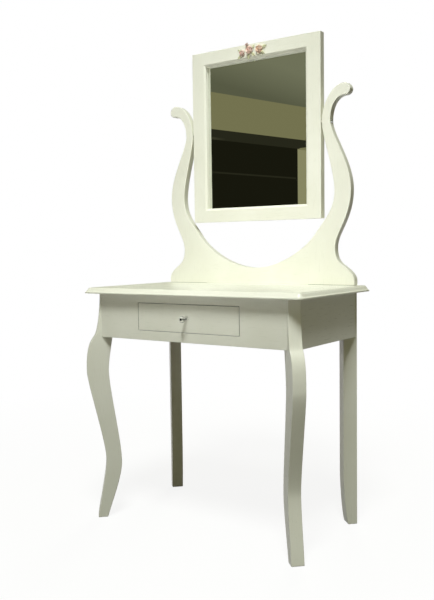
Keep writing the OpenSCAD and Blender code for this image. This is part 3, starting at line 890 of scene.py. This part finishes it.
@dataclass
class Room:
    """What the mirror sees: a dim room with a ceiling, a long wall and a dark cabinet, as glowing boxes that
    make a painted reflection.
    """

    corner: Vector = Vector((-3.016, -3.852, 0.0))
    along: Vector = Vector((0.236, -0.972, 0.0))
    ceiling_z: float = 2.4
    cabinet_top: float = 2.0
    cabinet_end: float = 1.04
    wall_start: float = -3.0  # runs along the wall from its corner
    wall_end: float = 4.5
    room_depth: float = 4.5
    cabinet_start: float = -2.0
    cabinet_depth: float = 0.16
    cornice_height: float = 0.07
    shelf_z: float = 1.59

    def card(
        self, name: str, low: Sequence[float], high: Sequence[float], material: bpy.types.Material
    ) -> None:
        """Add a box that shows only in reflections.

        Args:
            name: Name of the box.
            low: Least run along the wall, reach out from it, and height.
            high: Greatest run, reach and height.
            material: Its material.
        """
        run = self.along.normalized()
        out = Vector((-run.y, run.x, 0.0))
        size = [b - a for a, b in zip(low, high)]
        middle = [(a + b) / 2 for a, b in zip(low, high)]
        box = primitive(bpy.ops.mesh.primitive_cube_add, name, size=1.0)
        turn = Matrix((run, out, Vector((0, 0, 1)))).transposed().to_4x4()
        place = Matrix.Translation(self.corner) @ turn @ Matrix.Translation(middle)
        settle(box, place @ Matrix.Diagonal((*size, 1.0)))
        box.data.materials.append(material)
        box.visible_camera = False
        box.visible_diffuse = False
        box.visible_shadow = False
        box.visible_transmission = False

    def build(self) -> None:
        """Add the wall, the ceiling and the cabinet with its cornice and shelf."""
        # painted reflection: the room's light and shade are painted into these glowing colours, and the
        # gradients on the ceiling and the cornice edge paint light falling on them
        wall = glowing("olive_wall", "#7a7855")
        ceiling = glowing("grey_ceiling", "#5c5e49", "#75775f", (-2.75, -1.95))
        dark = glowing("dark_cabinet", "#19190f")
        trim = glowing("cabinet_trim", "#29291d")
        edge = glowing("cabinet_edge", "#5c5b46", "#29291d", (-3.0, -2.85))
        lit_wall = glowing("lit_wall", "#8f8d69")
        start, end, deep = self.cabinet_start, self.cabinet_end, self.cabinet_depth
        far, high, top = self.wall_end, self.ceiling_z, self.cabinet_top
        under, shelf = top - self.cornice_height, self.shelf_z
        self.card("room_wall", (self.wall_start, -0.1, 0.0), (far, 0.0, high), wall)
        self.card("room_ceiling", (self.wall_start, 0.0, high), (far, self.room_depth, high + 0.1), ceiling)
        self.card("room_cabinet", (start, 0.0, 0.0), (end, deep, under), dark)
        self.card("room_cornice", (start, 0.0, under), (end + 0.1, deep + 0.04, top), trim)
        self.card("room_cornice_edge", (start, deep, under - 0.02), (end + 0.02, deep + 0.01, under), edge)
        self.card("room_lit_wall", (end, 0.0, 0.0), (far, 0.01, under), lit_wall)
        self.card("room_shelf", (start, deep - 0.06, shelf), (end - 0.03, deep + 0.005, shelf + 0.015), trim)


@dataclass(frozen=True)
class Lamp:
    """One round soft light. Places and its diameter are metres, its power is watts."""

    name: str
    place: Vector
    aim: Vector
    size: float
    power: float
    colour: str
    spread_degrees: float = 180.0
    mirrored: bool = True  # whether the satin paint and the glass reflect it

    def add(self) -> None:
        """Add the light, pointing at its aim."""
        data = bpy.data.lights.new(self.name, "AREA")
        data.shape = "DISK"
        data.size = self.size
        data.energy = self.power
        data.color = linear(self.colour)[:3]
        data.spread = math.radians(self.spread_degrees)
        lamp = bpy.data.objects.new(self.name, data)
        bpy.context.scene.collection.objects.link(lamp)
        turn = (self.aim - self.place).to_track_quat("-Z", "Y").to_matrix().to_4x4()
        lamp.matrix_world = Matrix.Translation(self.place) @ turn
        lamp.visible_glossy = self.mirrored


@dataclass
class Studio:
    """Pale floor, a soft high key light, weak fills, a dim room for reflections and the camera."""

    camera_place: Vector = Vector((1.3626, -1.9816, 0.8721))
    yaw: float = -34.9
    pitch: float = -3.9
    roll: float = -0.8
    lens_mm: float = 45.88
    key_height: float = 61.0
    key_side: float = 28.0
    key_reach: float = 6.0
    key_size: float = 1.9
    key_power: float = 356.0
    middle: Vector = Vector((0.0, 0.0, 0.8))
    fills: tuple[Lamp, ...] = (
        Lamp("front_fill", Vector((-0.3, -3.6, 1.3)), Vector((0.0, 0.0, 1.15)), 1.0, 1.3, "#ffffff", 22.0),
        Lamp("side_fill", Vector((2.4, -0.6, 0.7)), Vector((0.3, 0.0, 0.5)), 1.0, 1.0, "#e8dc84"),
        Lamp("back_fill", Vector((-1.3, 3.4, 1.7)), middle, 1.6, 55.0, "#f4f4ea", mirrored=False),
    )
    floor_radius: float = 14.0
    floor_paint: str = "#fbfbf8"
    floor_bounce: str = "#2c2b18"  # what the floor gives back to the object
    ambient: tuple[float, ...] = (0.1, 0.095, 0.0275, 1.0)
    room_glow: str = "#75755a"
    shadow_near: float = 0.6
    shadow_far: float = 2.4
    shadow_share: float = 0.12

    def camera(self) -> None:
        """Add the camera and make it the scene's own."""
        yaw, pitch, roll = (math.radians(a) for a in (self.yaw, self.pitch, self.roll))
        forward = Vector((math.sin(yaw) * math.cos(pitch), math.cos(yaw) * math.cos(pitch), math.sin(pitch)))
        right = Vector((math.cos(yaw), -math.sin(yaw), 0.0))
        up = right.cross(forward)
        right, up = right * math.cos(roll) + up * math.sin(roll), up * math.cos(roll) - right * math.sin(roll)
        data = bpy.data.cameras.new("camera")
        data.sensor_width = 36.0
        data.lens = self.lens_mm
        camera = bpy.data.objects.new("camera", data)
        bpy.context.scene.collection.objects.link(camera)
        turn = Matrix((right, up, -forward)).transposed().to_4x4()
        camera.matrix_world = Matrix.Translation(self.camera_place) @ turn
        bpy.context.scene.camera = camera

    def lights(self) -> None:
        """Add the high key, a gridded fill on the upper part, and weak fills from the side and the back."""
        high, side = math.radians(self.key_height), math.radians(self.key_side)
        toward = Vector((math.sin(side) * math.cos(high), -math.cos(side) * math.cos(high), math.sin(high)))
        place = self.middle + toward * self.key_reach
        key = Lamp("key_light", place, self.middle, self.key_size, self.key_power, "#fbffff")
        for lamp in (key, *self.fills):
            lamp.add()

    def floor(self) -> None:
        """Add a pale floor that keeps only a faint shadow and throws little light back up."""
        disc = bpy.ops.mesh.primitive_circle_add
        floor = primitive(disc, "floor", vertices=96, radius=self.floor_radius, fill_type="NGON")
        material, tree = new_tree("pale_floor")
        path = add_node(tree, "ShaderNodeLightPath")
        reach = add_node(tree, "ShaderNodeVectorMath", links={0: object_place(tree)}, operation="LENGTH")
        fading = (self.shadow_near, self.shadow_far, self.shadow_share, 0.0)
        share = ranged(tree, reach.outputs["Value"], fading)
        white = add_node(tree, "ShaderNodeEmission", {"Color": (1.0, 1.0, 1.0, 1.0), "Strength": 1.0})
        chalk = add_node(tree, "ShaderNodeBsdfDiffuse", {"Color": linear(self.floor_paint)})
        umber = add_node(tree, "ShaderNodeBsdfDiffuse", {"Color": linear(self.floor_bounce)})
        layers = {0: share, 1: white.outputs[0], 2: chalk.outputs[0]}
        seen = add_node(tree, "ShaderNodeMixShader", links=layers)
        layers = {0: path.outputs["Is Diffuse Ray"], 1: seen.outputs[0], 2: umber.outputs[0]}
        mixed = add_node(tree, "ShaderNodeMixShader", links=layers)
        surface(tree, mixed)
        floor.data.materials.append(material)

    def world(self) -> None:
        """Show white behind the object, and light and reflect a dim olive room."""
        world = bpy.data.worlds.new("studio_world")
        world.use_nodes = True
        tree = world.node_tree
        tree.nodes.clear()
        path = add_node(tree, "ShaderNodeLightPath")
        white = add_node(tree, "ShaderNodeBackground", {"Color": (1, 1, 1, 1), "Strength": 1.0})
        ambient = add_node(tree, "ShaderNodeBackground", {"Color": self.ambient, "Strength": 1.0})
        room = add_node(tree, "ShaderNodeBackground", {"Color": linear(self.room_glow), "Strength": 1.0})
        indirect = add_node(
            tree,
            "ShaderNodeMixShader",
            links={0: path.outputs["Is Glossy Ray"], 1: ambient.outputs[0], 2: room.outputs[0]},
        )
        through = (path.outputs["Is Camera Ray"], path.outputs["Is Transmission Ray"])
        seen = add_node(tree, "ShaderNodeMath", links=dict(enumerate(through)), operation="MAXIMUM")
        layers = {0: seen.outputs[0], 1: indirect.outputs[0], 2: white.outputs[0]}
        mixed = add_node(tree, "ShaderNodeMixShader", links=layers)
        add_node(tree, "ShaderNodeOutputWorld", links={"Surface": mixed.outputs[0]})
        bpy.context.scene.world = world

    def build(self) -> None:
        """Set up the whole studio."""
        self.camera()
        self.lights()
        self.floor()
        self.world()
        Room().build()
        bpy.context.scene.view_settings.view_transform = "Standard"


# ---------------------------------------------------------------------------
# Woodwork
# ---------------------------------------------------------------------------


@dataclass
class Woodwork:
    """Every board of the table, the drawer, the stand and the mirror frame."""

    stand_ease: float = 2.0
    mirror_ease: float = 1.2

    def painted(self) -> Boards:
        """Return the boards that are sanded, eased and enamelled."""
        stand = Easing(self.stand_ease, seam=Seam(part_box("stand_base")[1].x))
        frame_edge = Easing(self.mirror_ease, seam=Seam(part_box("mirror_rail_upper")[1].x))
        rails = ("mirror_rail_upper", "mirror_rail_lower")
        plans = (
            BoardPlan(("table_top",), Easing(0.7, 3, 28.0, 35.0), Grain.ALONG_X),
            BoardPlan(("front_apron", "back_apron"), Easing(1.0), Grain.ALONG_X),
            BoardPlan(sides("side_apron"), Easing(1.0), Grain.ALONG_Y),
            BoardPlan((*sides("leg_front"), *sides("leg_rear")), Easing(2.0), Grain.ALONG_Z),
            BoardPlan(("drawer_front",), Easing(1.0), Grain.ALONG_X),
            BoardPlan(("stand_base",), stand, Grain.ALONG_X),
            BoardPlan(sides("stand_upright"), stand, Grain.ALONG_Z),
            BoardPlan(sides("mirror_stile"), frame_edge, Grain.ALONG_Z),
            BoardPlan(rails, frame_edge, Grain.ALONG_X),
        )
        return Boards("painted_wood", PaintFinish(), plans)

    def bare(self) -> Boards:
        """Return the boards inside, which stay bare."""
        blocks = (*sides("corner_block_front"), *sides("corner_block_rear"))
        guides = (*sides("drawer_runner"), *sides("drawer_kicker"))
        planed = Easing(0.8, 3, 35.0, 35.0)
        plans = (
            BoardPlan(blocks, planed, Grain.ALONG_Z),
            BoardPlan((*sides("top_cleat"), *guides, *sides("drawer_side")), planed, Grain.ALONG_Y),
            BoardPlan(("drawer_back", "drawer_stops"), planed, Grain.ALONG_X),
        )
        return Boards("bare_wood", PineFinish(), plans)

    def build(self, frame: dict) -> None:
        """Make all boards, and dress the dowels, the drawer's bottom and the mirror's back."""
        self.painted().build(frame)
        self.bare().build(frame)
        dowel = PineFinish("#e0c197", "#c9a06c", 3.0).material(Grain.ALONG_X)
        redress(frame, ("guide_dowels", "stand_dowels", "mirror_frame_dowels"), dowel)
        hardboard = HardboardFinish().material()
        for node in ("drawer_bottom", "mirror_back_board"):
            panel = eased_board(frame, node, Easing(0.4, 2, 35.0, 46.0))
            finish_piece(panel, frame["nodes"][node]["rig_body"], hardboard, [node])


# ---------------------------------------------------------------------------
# Knob
# ---------------------------------------------------------------------------


@dataclass
class CrystalKnob:
    """The drawer's clear faceted knob, and the bright screw with a black head in it. Millimetres."""

    facets: int = 12
    foot_radius: float = 8.0
    waist_radius: float = 5.0
    table_radius: float = 7.0
    bore_radius: float = 2.05
    screw_head: float = 4.0
    screw_shank: float = 2.0
    head_flare: float = 2.2
    slot_width: float = 1.1
    slot_depth: float = 1.0

    def axis(self) -> tuple[Matrix, float, float]:
        """Return the knob's place on the drawer, its length and its head's radius in millimetres."""
        low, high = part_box("drawer_knob")
        place = Matrix.Translation(((low.x + high.x) / 2, high.y, (low.z + high.z) / 2))
        return place @ facing(Vector((0.0, -1.0, 0.0))), (high.y - low.y) / MM, (high.x - low.x) / 2 / MM

    def knob(self) -> bpy.types.Object:
        """Turn the knob with flat facets, a waist and a narrower table round the screw's head."""
        place, length, radius = self.axis()
        outline = (
            (self.foot_radius, 0.0),
            (self.foot_radius, 1.5),
            (self.waist_radius + 0.9, 0.2 * length),
            (self.waist_radius, 0.32 * length),
            (self.waist_radius + 1.0, 0.44 * length),
            (radius - 0.6, 0.66 * length),
            (radius, 0.74 * length),
            (radius - 0.5, 0.82 * length),
            (self.table_radius, length),
            (self.screw_head + 0.05, length),
            (self.bore_radius, length - self.head_flare),
            (self.bore_radius, 0.0),
        )
        knob = turned("crystal_knob", outline, self.facets, bored=True)
        smooth(knob, 8.0)
        return settle(knob, place)

    def screw(self) -> bpy.types.Object:
        """Turn the countersunk screw and cut its slot."""
        place, length, _ = self.axis()
        low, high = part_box("knob_screw")
        tail = length - (high.y - low.y) / MM
        outline = (
            (self.screw_shank - 0.5, tail),
            (self.screw_shank, tail + 0.6),
            (self.screw_shank, length - self.head_flare),
            (self.screw_head - 0.1, length - 0.15),
            (self.screw_head - 0.2, length),
        )
        screw = turned("knob_machine_screw", outline, 40)
        slot = primitive(bpy.ops.mesh.primitive_cube_add, "slot_cutter", size=MM)
        across = scaled(3 * self.screw_head, self.slot_width, 2 * self.slot_depth)
        settle(slot, Matrix.Translation((0, 0, length * MM)) @ across)
        cut_away(screw, slot)
        smooth(screw, 30.0)
        neck = (length - self.head_flare - 0.1) * MM
        painted_reach(screw, lambda point: float(point.z > neck))
        return settle(screw, place)

    def build(self, frame: dict) -> None:
        """Make the knob and its screw, and dress the nut."""
        steel = MetalFinish("steel_with_black_oxide_head", "#d8d8d2", "#cbcbc6", 0.5, 1.5, "#1c1a17")
        finish_piece(self.knob(), "drawer", AcrylicFinish().material(), ["drawer_knob"])
        finish_piece(self.screw(), "drawer", steel.material(), ["knob_screw"])
        redress(frame, ["knob_nut"], ZINC.material())


# ---------------------------------------------------------------------------
# Fixings
# ---------------------------------------------------------------------------


class Head(Enum):
    """The form of a screw's head."""

    PAN = "pan"
    COUNTERSUNK = "countersunk"


@dataclass(frozen=True)
class CrossScrew:
    """A cross-recess wood screw whose head looks along +Z at the origin. Millimetres."""

    head: Head
    head_radius: float
    head_height: float
    shank_radius: float
    length: float
    recess_share: float = 0.62

    def outline(self) -> list[tuple[float, float]]:
        """Return the screw's profile, from its point to the top of its head."""
        neck = -self.head_height
        shank = [(0.3, -self.length), (self.shank_radius, -self.length + 2.5), (self.shank_radius, neck)]
        if self.head is Head.COUNTERSUNK:
            return [*shank, (self.head_radius - 0.1, -0.2), (self.head_radius - 0.25, 0.0)]
        dome = [(self.head_radius * math.cos(a), neck * (1 - math.sin(a))) for a in (0.0, 0.4, 0.8, 1.2)]
        return [*shank, (self.head_radius, neck), *dome[1:], (0.3, 0.0)]

    def model(self, name: str) -> bpy.types.Object:
        """Turn the screw and cut its cross recess with two tapered bars."""
        screw = turned(name, self.outline(), 28)
        reach, depth = self.head_radius * self.recess_share, min(self.head_height, 1.4)
        for turn in (0.0, math.pi / 2):
            bar = primitive(bpy.ops.mesh.primitive_cube_add, "recess_cutter", size=2 * MM)
            settle(bar, Matrix.Rotation(turn, 4, "Z") @ scaled(reach, self.head_radius * 0.14, depth))
            with EditSession(bar, "VERT") as edit:
                edit.pick(lambda vert: vert.co.z < 0)
                bpy.ops.transform.resize(value=(0.45, 0.45, 1.0), center_override=(0.0, 0.0, 0.0))
            cut_away(screw, bar)
        smooth(screw, 30.0)
        return screw


@dataclass
class Fixings:
    """Screws, plates, clips, bolts, nuts and washers that hold the table together."""

    pan: CrossScrew = CrossScrew(Head.PAN, 4.0, 2.4, 2.0, 12.4)
    countersunk: CrossScrew = CrossScrew(Head.COUNTERSUNK, 4.0, 2.2, 2.0, 19.0)
    clip: CrossScrew = CrossScrew(Head.PAN, 3.0, 1.0, 1.5, 11.2)

    def screws(self, frame: dict, node: str, pattern: CrossScrew, material: bpy.types.Material) -> None:
        """Set a screw at every seat of a design node, each turned a little further than the last."""
        model = pattern.model(f"{node}_pattern")
        copies = []
        for number, seat in enumerate(seats_of(frame, node)):
            turn = Matrix.Rotation(0.7 * number, 4, "Z")
            copies.append(copy_of(model, f"{node}_{number}", seat.matrix() @ turn))
        bpy.data.objects.remove(model)
        body = frame["nodes"][node]["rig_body"]
        finish_piece(joined(copies, f"{node}_set"), body, material, [node])

    def build(self, frame: dict) -> None:
        """Make the screws, ease the plates and the clips, and dress the bolts."""
        zinc = ZINC.material()
        self.screws(frame, "corner_block_screws", self.pan, zinc)
        self.screws(frame, "top_cleat_screws", self.pan, zinc)
        self.screws(frame, "stand_plate_screws", self.countersunk, zinc)
        self.screws(frame, "clip_screws", self.clip, zinc)
        for node, width in (("stand_plates", 0.6), ("back_board_clips", 0.35)):
            plate = eased_board(frame, node, Easing(width, 2, 35.0, 46.0))
            finish_piece(plate, frame["nodes"][node]["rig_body"], zinc, [node])
        redress(frame, ("leg_bolts", "leg_bolt_washers", "leg_bolt_nuts"), zinc)


# ---------------------------------------------------------------------------
# Mirror glass and pivots
# ---------------------------------------------------------------------------


@dataclass
class MirrorPlate:
    """The silvered glass, with its edges seamed so that they can be handled."""

    seamed_mm: float = 0.5

    def build(self, frame: dict) -> None:
        """Make the glass."""
        plate = eased_board(frame, "mirror_glass", Easing(self.seamed_mm, 1, 35.0, 20.0))
        finish_piece(plate, "mirror", MirrorFinish().material(), ["mirror_glass"])


@dataclass
class Pivots:
    """The two side bolts that the mirror swings on, with domed socket heads. Millimetres."""

    head_radius: float = 6.0
    head_height: float = 3.0
    shank_radius: float = 3.0
    socket_radius: float = 2.6
    socket_depth: float = 1.8

    def bolt(self, length: float) -> bpy.types.Object:
        """Turn one bolt whose head looks along +Z at the origin, and cut its hexagon socket."""
        neck = -self.head_height
        outline = (
            (self.shank_radius - 0.6, -length),
            (self.shank_radius, -length + 0.8),
            (self.shank_radius, neck),
            (self.head_radius, neck),
            (self.head_radius, 0.5 * neck),
            (self.head_radius - 0.4, 0.28 * neck),
            (self.head_radius - 1.0, 0.1 * neck),
            (self.head_radius - 1.9, 0.0),
        )
        bolt = turned("pivot_bolt", outline, 40)
        socket = primitive(
            bpy.ops.mesh.primitive_cylinder_add,
            "socket_cutter",
            vertices=6,
            radius=self.socket_radius * MM,
            depth=2 * self.socket_depth * MM,
        )
        cut_away(bolt, socket)
        smooth(bolt, 30.0)
        return bolt

    def build(self, frame: dict) -> None:
        """Set a bolt on each side and dress the inserts and the washers."""
        chrome = MetalFinish("chrome_plate", "#dfe1e0", "#cfd2d2", 0.14).material()
        low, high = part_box("pivot_bolt_right")
        model = self.bolt((high.x - low.x) / MM)
        for node, side in (("pivot_bolt_left", -1.0), ("pivot_bolt_right", 1.0)):
            low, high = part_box(node)
            head = Vector((high.x if side > 0 else low.x, (low.y + high.y) / 2, (low.z + high.z) / 2))
            bolt = copy_of(model, f"{node}_domed", Seat(head, Vector((side, 0.0, 0.0))).matrix())
            finish_piece(bolt, frame["nodes"][node]["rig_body"], chrome, [node])
        bpy.data.objects.remove(model)
        redress(frame, sides("pivot_insert"), BRASS.material())
        redress(frame, sides("pivot_washer"), NylonFinish().material())


# ---------------------------------------------------------------------------
# Rose ornament
# ---------------------------------------------------------------------------


@dataclass(frozen=True)
class Whorl:
    """One ring of petals. Lengths are shares of the bloom's radius."""

    count: int
    lean_degrees: float
    width: float
    height: float
    stand_off: float
    start_degrees: float


OPEN_ROSE = (
    Whorl(3, 4.0, 0.62, 0.62, 0.1, 0.0),
    Whorl(4, 20.0, 0.86, 0.74, 0.16, 40.0),
    Whorl(5, 40.0, 1.0, 0.8, 0.2, 10.0),
    Whorl(6, 66.0, 1.06, 0.84, 0.22, 35.0),
)
CLOSED_BUD = (Whorl(3, 0.0, 0.8, 1.0, 0.12, 0.0), Whorl(3, 14.0, 1.05, 1.0, 0.2, 60.0))


@dataclass(frozen=True)
class Bloom:
    """One flower on the rail: its place from the rail's middle and lower edge, and its size. Millimetres."""

    name: str
    x: float
    height: float
    radius: float
    depth: float
    whorls: tuple[Whorl, ...]
    finish: ResinFinish
    turn_degrees: float = 0.0


@dataclass(frozen=True)
class Leaf:
    """One leaf on the rail: the place of its stem end, the way it points, and its length. Millimetres."""

    x: float
    height: float
    degrees: float
    length: float


@dataclass
class RoseOrnament:
    """Three cast roses and a bud among leaves, glued to the mirror's upper rail."""

    # each resin finish: painted shade in its first colour, the resin's own colour in the second, a painted
    # highlight in the third
    blooms: tuple[Bloom, ...] = (
        Bloom(
            "rose_left", -40.0, 22.0, 11.0, 11.0, OPEN_ROSE,
            ResinFinish("shell_pink_resin", "#e2b5a6", "#fbe7dd", "#fcefe4"),
        ),
        Bloom(
            "rose_middle", -12.0, 29.0, 14.0, 12.0, OPEN_ROSE,
            ResinFinish("salmon_resin", "#e2b2a1", "#fbe5da", "#fcebde"), 25.0,
        ),
        Bloom(
            "rose_right", 26.0, 26.0, 13.5, 12.0, OPEN_ROSE,
            ResinFinish("blush_gold_resin", "#d9ab85", "#fbe4d6", "#f9e8cc"), 50.0,
        ),
        Bloom(
            "rose_bud", -20.0, 47.0, 6.5, 7.0, CLOSED_BUD,
            ResinFinish("dusky_resin", "#bd9c92", "#e6cec4", "#efe0d4"),
        ),
    )
    leaves: tuple[Leaf, ...] = (
        Leaf(-45.0, 15.0, 215.0, 17.0),
        Leaf(-45.0, 28.0, 148.0, 15.0),
        Leaf(-14.0, 18.0, 262.0, 20.0),
        Leaf(-4.0, 19.0, 318.0, 19.0),
        Leaf(1.0, 32.0, 65.0, 14.0),
        Leaf(35.0, 30.0, 15.0, 20.0),
        Leaf(33.0, 20.0, 318.0, 18.0),
    )
    leaf_width: float = 0.58  # share of a leaf's length
    leaf_columns: int = 12

    def on_rail(self, x: float, height: float) -> Matrix:
        """Return the place of a casting whose +Z looks out of the rail's face."""
        low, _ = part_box("mirror_rail_upper")
        return Matrix.Translation((x * MM, low.y, low.z + height * MM)) @ Matrix.Rotation(math.pi / 2, 4, "X")

    def petal(self) -> bpy.types.Object:
        """Shape one cupped petal, one unit wide and high, with its foot at the origin and its back to +Z."""
        cap_degrees, cup = 60.0, 0.3
        ball = bpy.ops.mesh.primitive_uv_sphere_add
        petal = primitive(ball, "petal", segments=16, ring_count=12, radius=1.0)
        floor_z = math.cos(math.radians(cap_degrees))
        with EditSession(petal, "VERT") as edit:
            bpy.ops.mesh.select_all(action="SELECT")
            bpy.ops.mesh.bisect(plane_co=(0.0, 0.0, floor_z), plane_no=(0.0, 0.0, 1.0), clear_inner=True)
            bpy.ops.mesh.select_all(action="SELECT")
            bpy.ops.transform.translate(value=(0.0, 0.0, -floor_z))
            rim = 2 * math.sin(math.radians(cap_degrees))
            bpy.ops.transform.resize(
                value=(1 / rim, 1 / rim, cup / (1 - floor_z)), center_override=(0.0, 0.0, 0.0)
            )
            bpy.ops.transform.translate(value=(0.0, 0.5, 0.0))
            for reach, curl in ((0.6, 0.05), (0.78, 0.09), (0.92, 0.08)):
                edit.pick(lambda vert, reach=reach: vert.co.y > reach)
                bpy.ops.transform.translate(value=(0.0, 0.0, curl))
            edit.pick(lambda vert: vert.co.y < 0.3)
            bpy.ops.transform.resize(value=(0.7, 1.0, 1.0), center_override=(0.0, 0.0, 0.0))
        # the colour runs from painted shade at the heart end to a painted highlight at the lip
        painted_reach(petal, lambda point: point.y)
        apply_modifier(petal, "SOLIDIFY", thickness=0.07, offset=0.0)
        apply_modifier(petal, "SUBSURF", levels=1, render_levels=1)
        outward(petal)
        smooth(petal, 60.0)
        return petal

    def bloom(self, plan: Bloom, petal: bpy.types.Object) -> bpy.types.Object:
        """Set whorls of petals round a heart, and fit the flower to its size."""
        heart = turned("heart", ((0.3, 0.02), (0.42, 0.05), (0.3, 0.3), (0.2, 0.55), (0.08, 0.62)), 16)
        settle(heart, scaled(1 / MM, 1 / MM, 1 / MM))
        smooth(heart, 60.0)
        pieces = [heart]
        for ring, whorl in enumerate(plan.whorls):
            for number in range(whorl.count):
                around = math.radians(whorl.start_degrees + plan.turn_degrees + 360.0 * number / whorl.count)
                lean = math.radians(whorl.lean_degrees + (4.0 if number % 2 else -3.0))
                out = Vector((math.cos(around), math.sin(around), 0.0))
                up = Vector((0.0, 0.0, 1.0))
                rise = out * math.sin(lean) + up * math.cos(lean)
                back = out * math.cos(lean) - up * math.sin(lean)
                turn = Matrix((rise.cross(back), rise, back)).transposed().to_4x4()
                size = scaled(whorl.width, whorl.height, whorl.width)
                place = Matrix.Translation(out * whorl.stand_off + up * 0.04) @ turn @ size
                pieces.append(copy_of(petal, f"{plan.name}_petal_{ring}_{number}", place))
        flower = joined(pieces, plan.name)
        reach = max(math.hypot(vert.co.x, vert.co.y) for vert in flower.data.vertices)
        low = min(vert.co.z for vert in flower.data.vertices)
        high = max(vert.co.z for vert in flower.data.vertices)
        across, deep = plan.radius * MM / reach, plan.depth * MM / (high - low)
        fitted = scaled(across, across, deep) @ Matrix.Translation((0.0, 0.0, -low))
        return settle(flower, self.on_rail(plan.x, plan.height) @ fitted)

    def leaf(self) -> bpy.types.Object:
        """Shape one leaf, one unit long, from a flat grid: pointed ends, a sunk rib and drooping sides."""
        columns = self.leaf_columns
        sheet = bpy.ops.mesh.primitive_grid_add
        grid = primitive(sheet, "leaf", x_subdivisions=columns, y_subdivisions=4, size=1.0)
        settle(grid, Matrix.Translation((0.5, 0.0, 0.0)))
        with EditSession(grid, "VERT") as edit:
            for low, high, drop in ((-0.01, 0.1, -0.035), (0.4, 0.6, -0.05)):
                edit.pick(lambda vert, low=low, high=high: low < abs(vert.co.y) < high)
                bpy.ops.transform.translate(value=(0.0, 0.0, drop))
            for column in range(columns + 1):
                along = column / columns
                outline = max(0.06, math.sin(math.pi * along**0.8))
                toothed = 0.93 + 0.07 * (column % 2)
                wide = self.leaf_width * outline * toothed
                edit.pick(lambda vert, along=along: abs(vert.co.x - along) < 0.01)
                bpy.ops.transform.resize(value=(1.0, wide, 1.0), center_override=(along, 0.0, 0.0))
                bpy.ops.transform.translate(value=(0.0, 0.0, 0.1 + 0.07 * math.sin(math.pi * along)))
        # the rib gets painted shade and the edges a painted highlight
        painted_reach(grid, lambda point: abs(point.y) / (0.5 * self.leaf_width) * 0.7 + 0.25)
        apply_modifier(grid, "SOLIDIFY", thickness=0.05, offset=0.0)
        apply_modifier(grid, "SUBSURF", levels=1, render_levels=1)
        outward(grid)
        smooth(grid, 60.0)
        return grid

    def build(self) -> None:
        """Make the flowers and the leaves."""
        petal = self.petal()
        for plan in self.blooms:
            flower = self.bloom(plan, petal)
            finish_piece(flower, "mirror", plan.finish.material(), ["rose_flowers"])
        bpy.data.objects.remove(petal)
        leaf = self.leaf()
        copies = []
        for number, plan in enumerate(self.leaves):
            size = plan.length * MM
            place = self.on_rail(plan.x, plan.height) @ Matrix.Rotation(math.radians(plan.degrees), 4, "Z")
            copies.append(copy_of(leaf, f"leaf_{number}", place @ scaled(size, size, size)))
        bpy.data.objects.remove(leaf)
        # painted shade of dark olive at the rib and a near-white painted highlight at the edges, over the
        # sage resin's own colour
        green = ResinFinish("sage_resin", "#77764a", "#d6d7ae", "#f1eed4")
        spray = joined(copies, "rose_leaf_spray")
        finish_piece(spray, "mirror", green.material(), ["rose_leaves"])


# ---------------------------------------------------------------------------
# The table
# ---------------------------------------------------------------------------


def main() -> None:
    """Build the studio and every sub-assembly."""
    logging.basicConfig(level=logging.INFO, format="%(name)s: %(message)s")
    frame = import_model()
    Studio().build()
    Woodwork().build(frame)
    CrystalKnob().build(frame)
    Fixings().build(frame)
    MirrorPlate().build(frame)
    Pivots().build(frame)
    RoseOrnament().build()


if __name__ == "__main__":
    main()
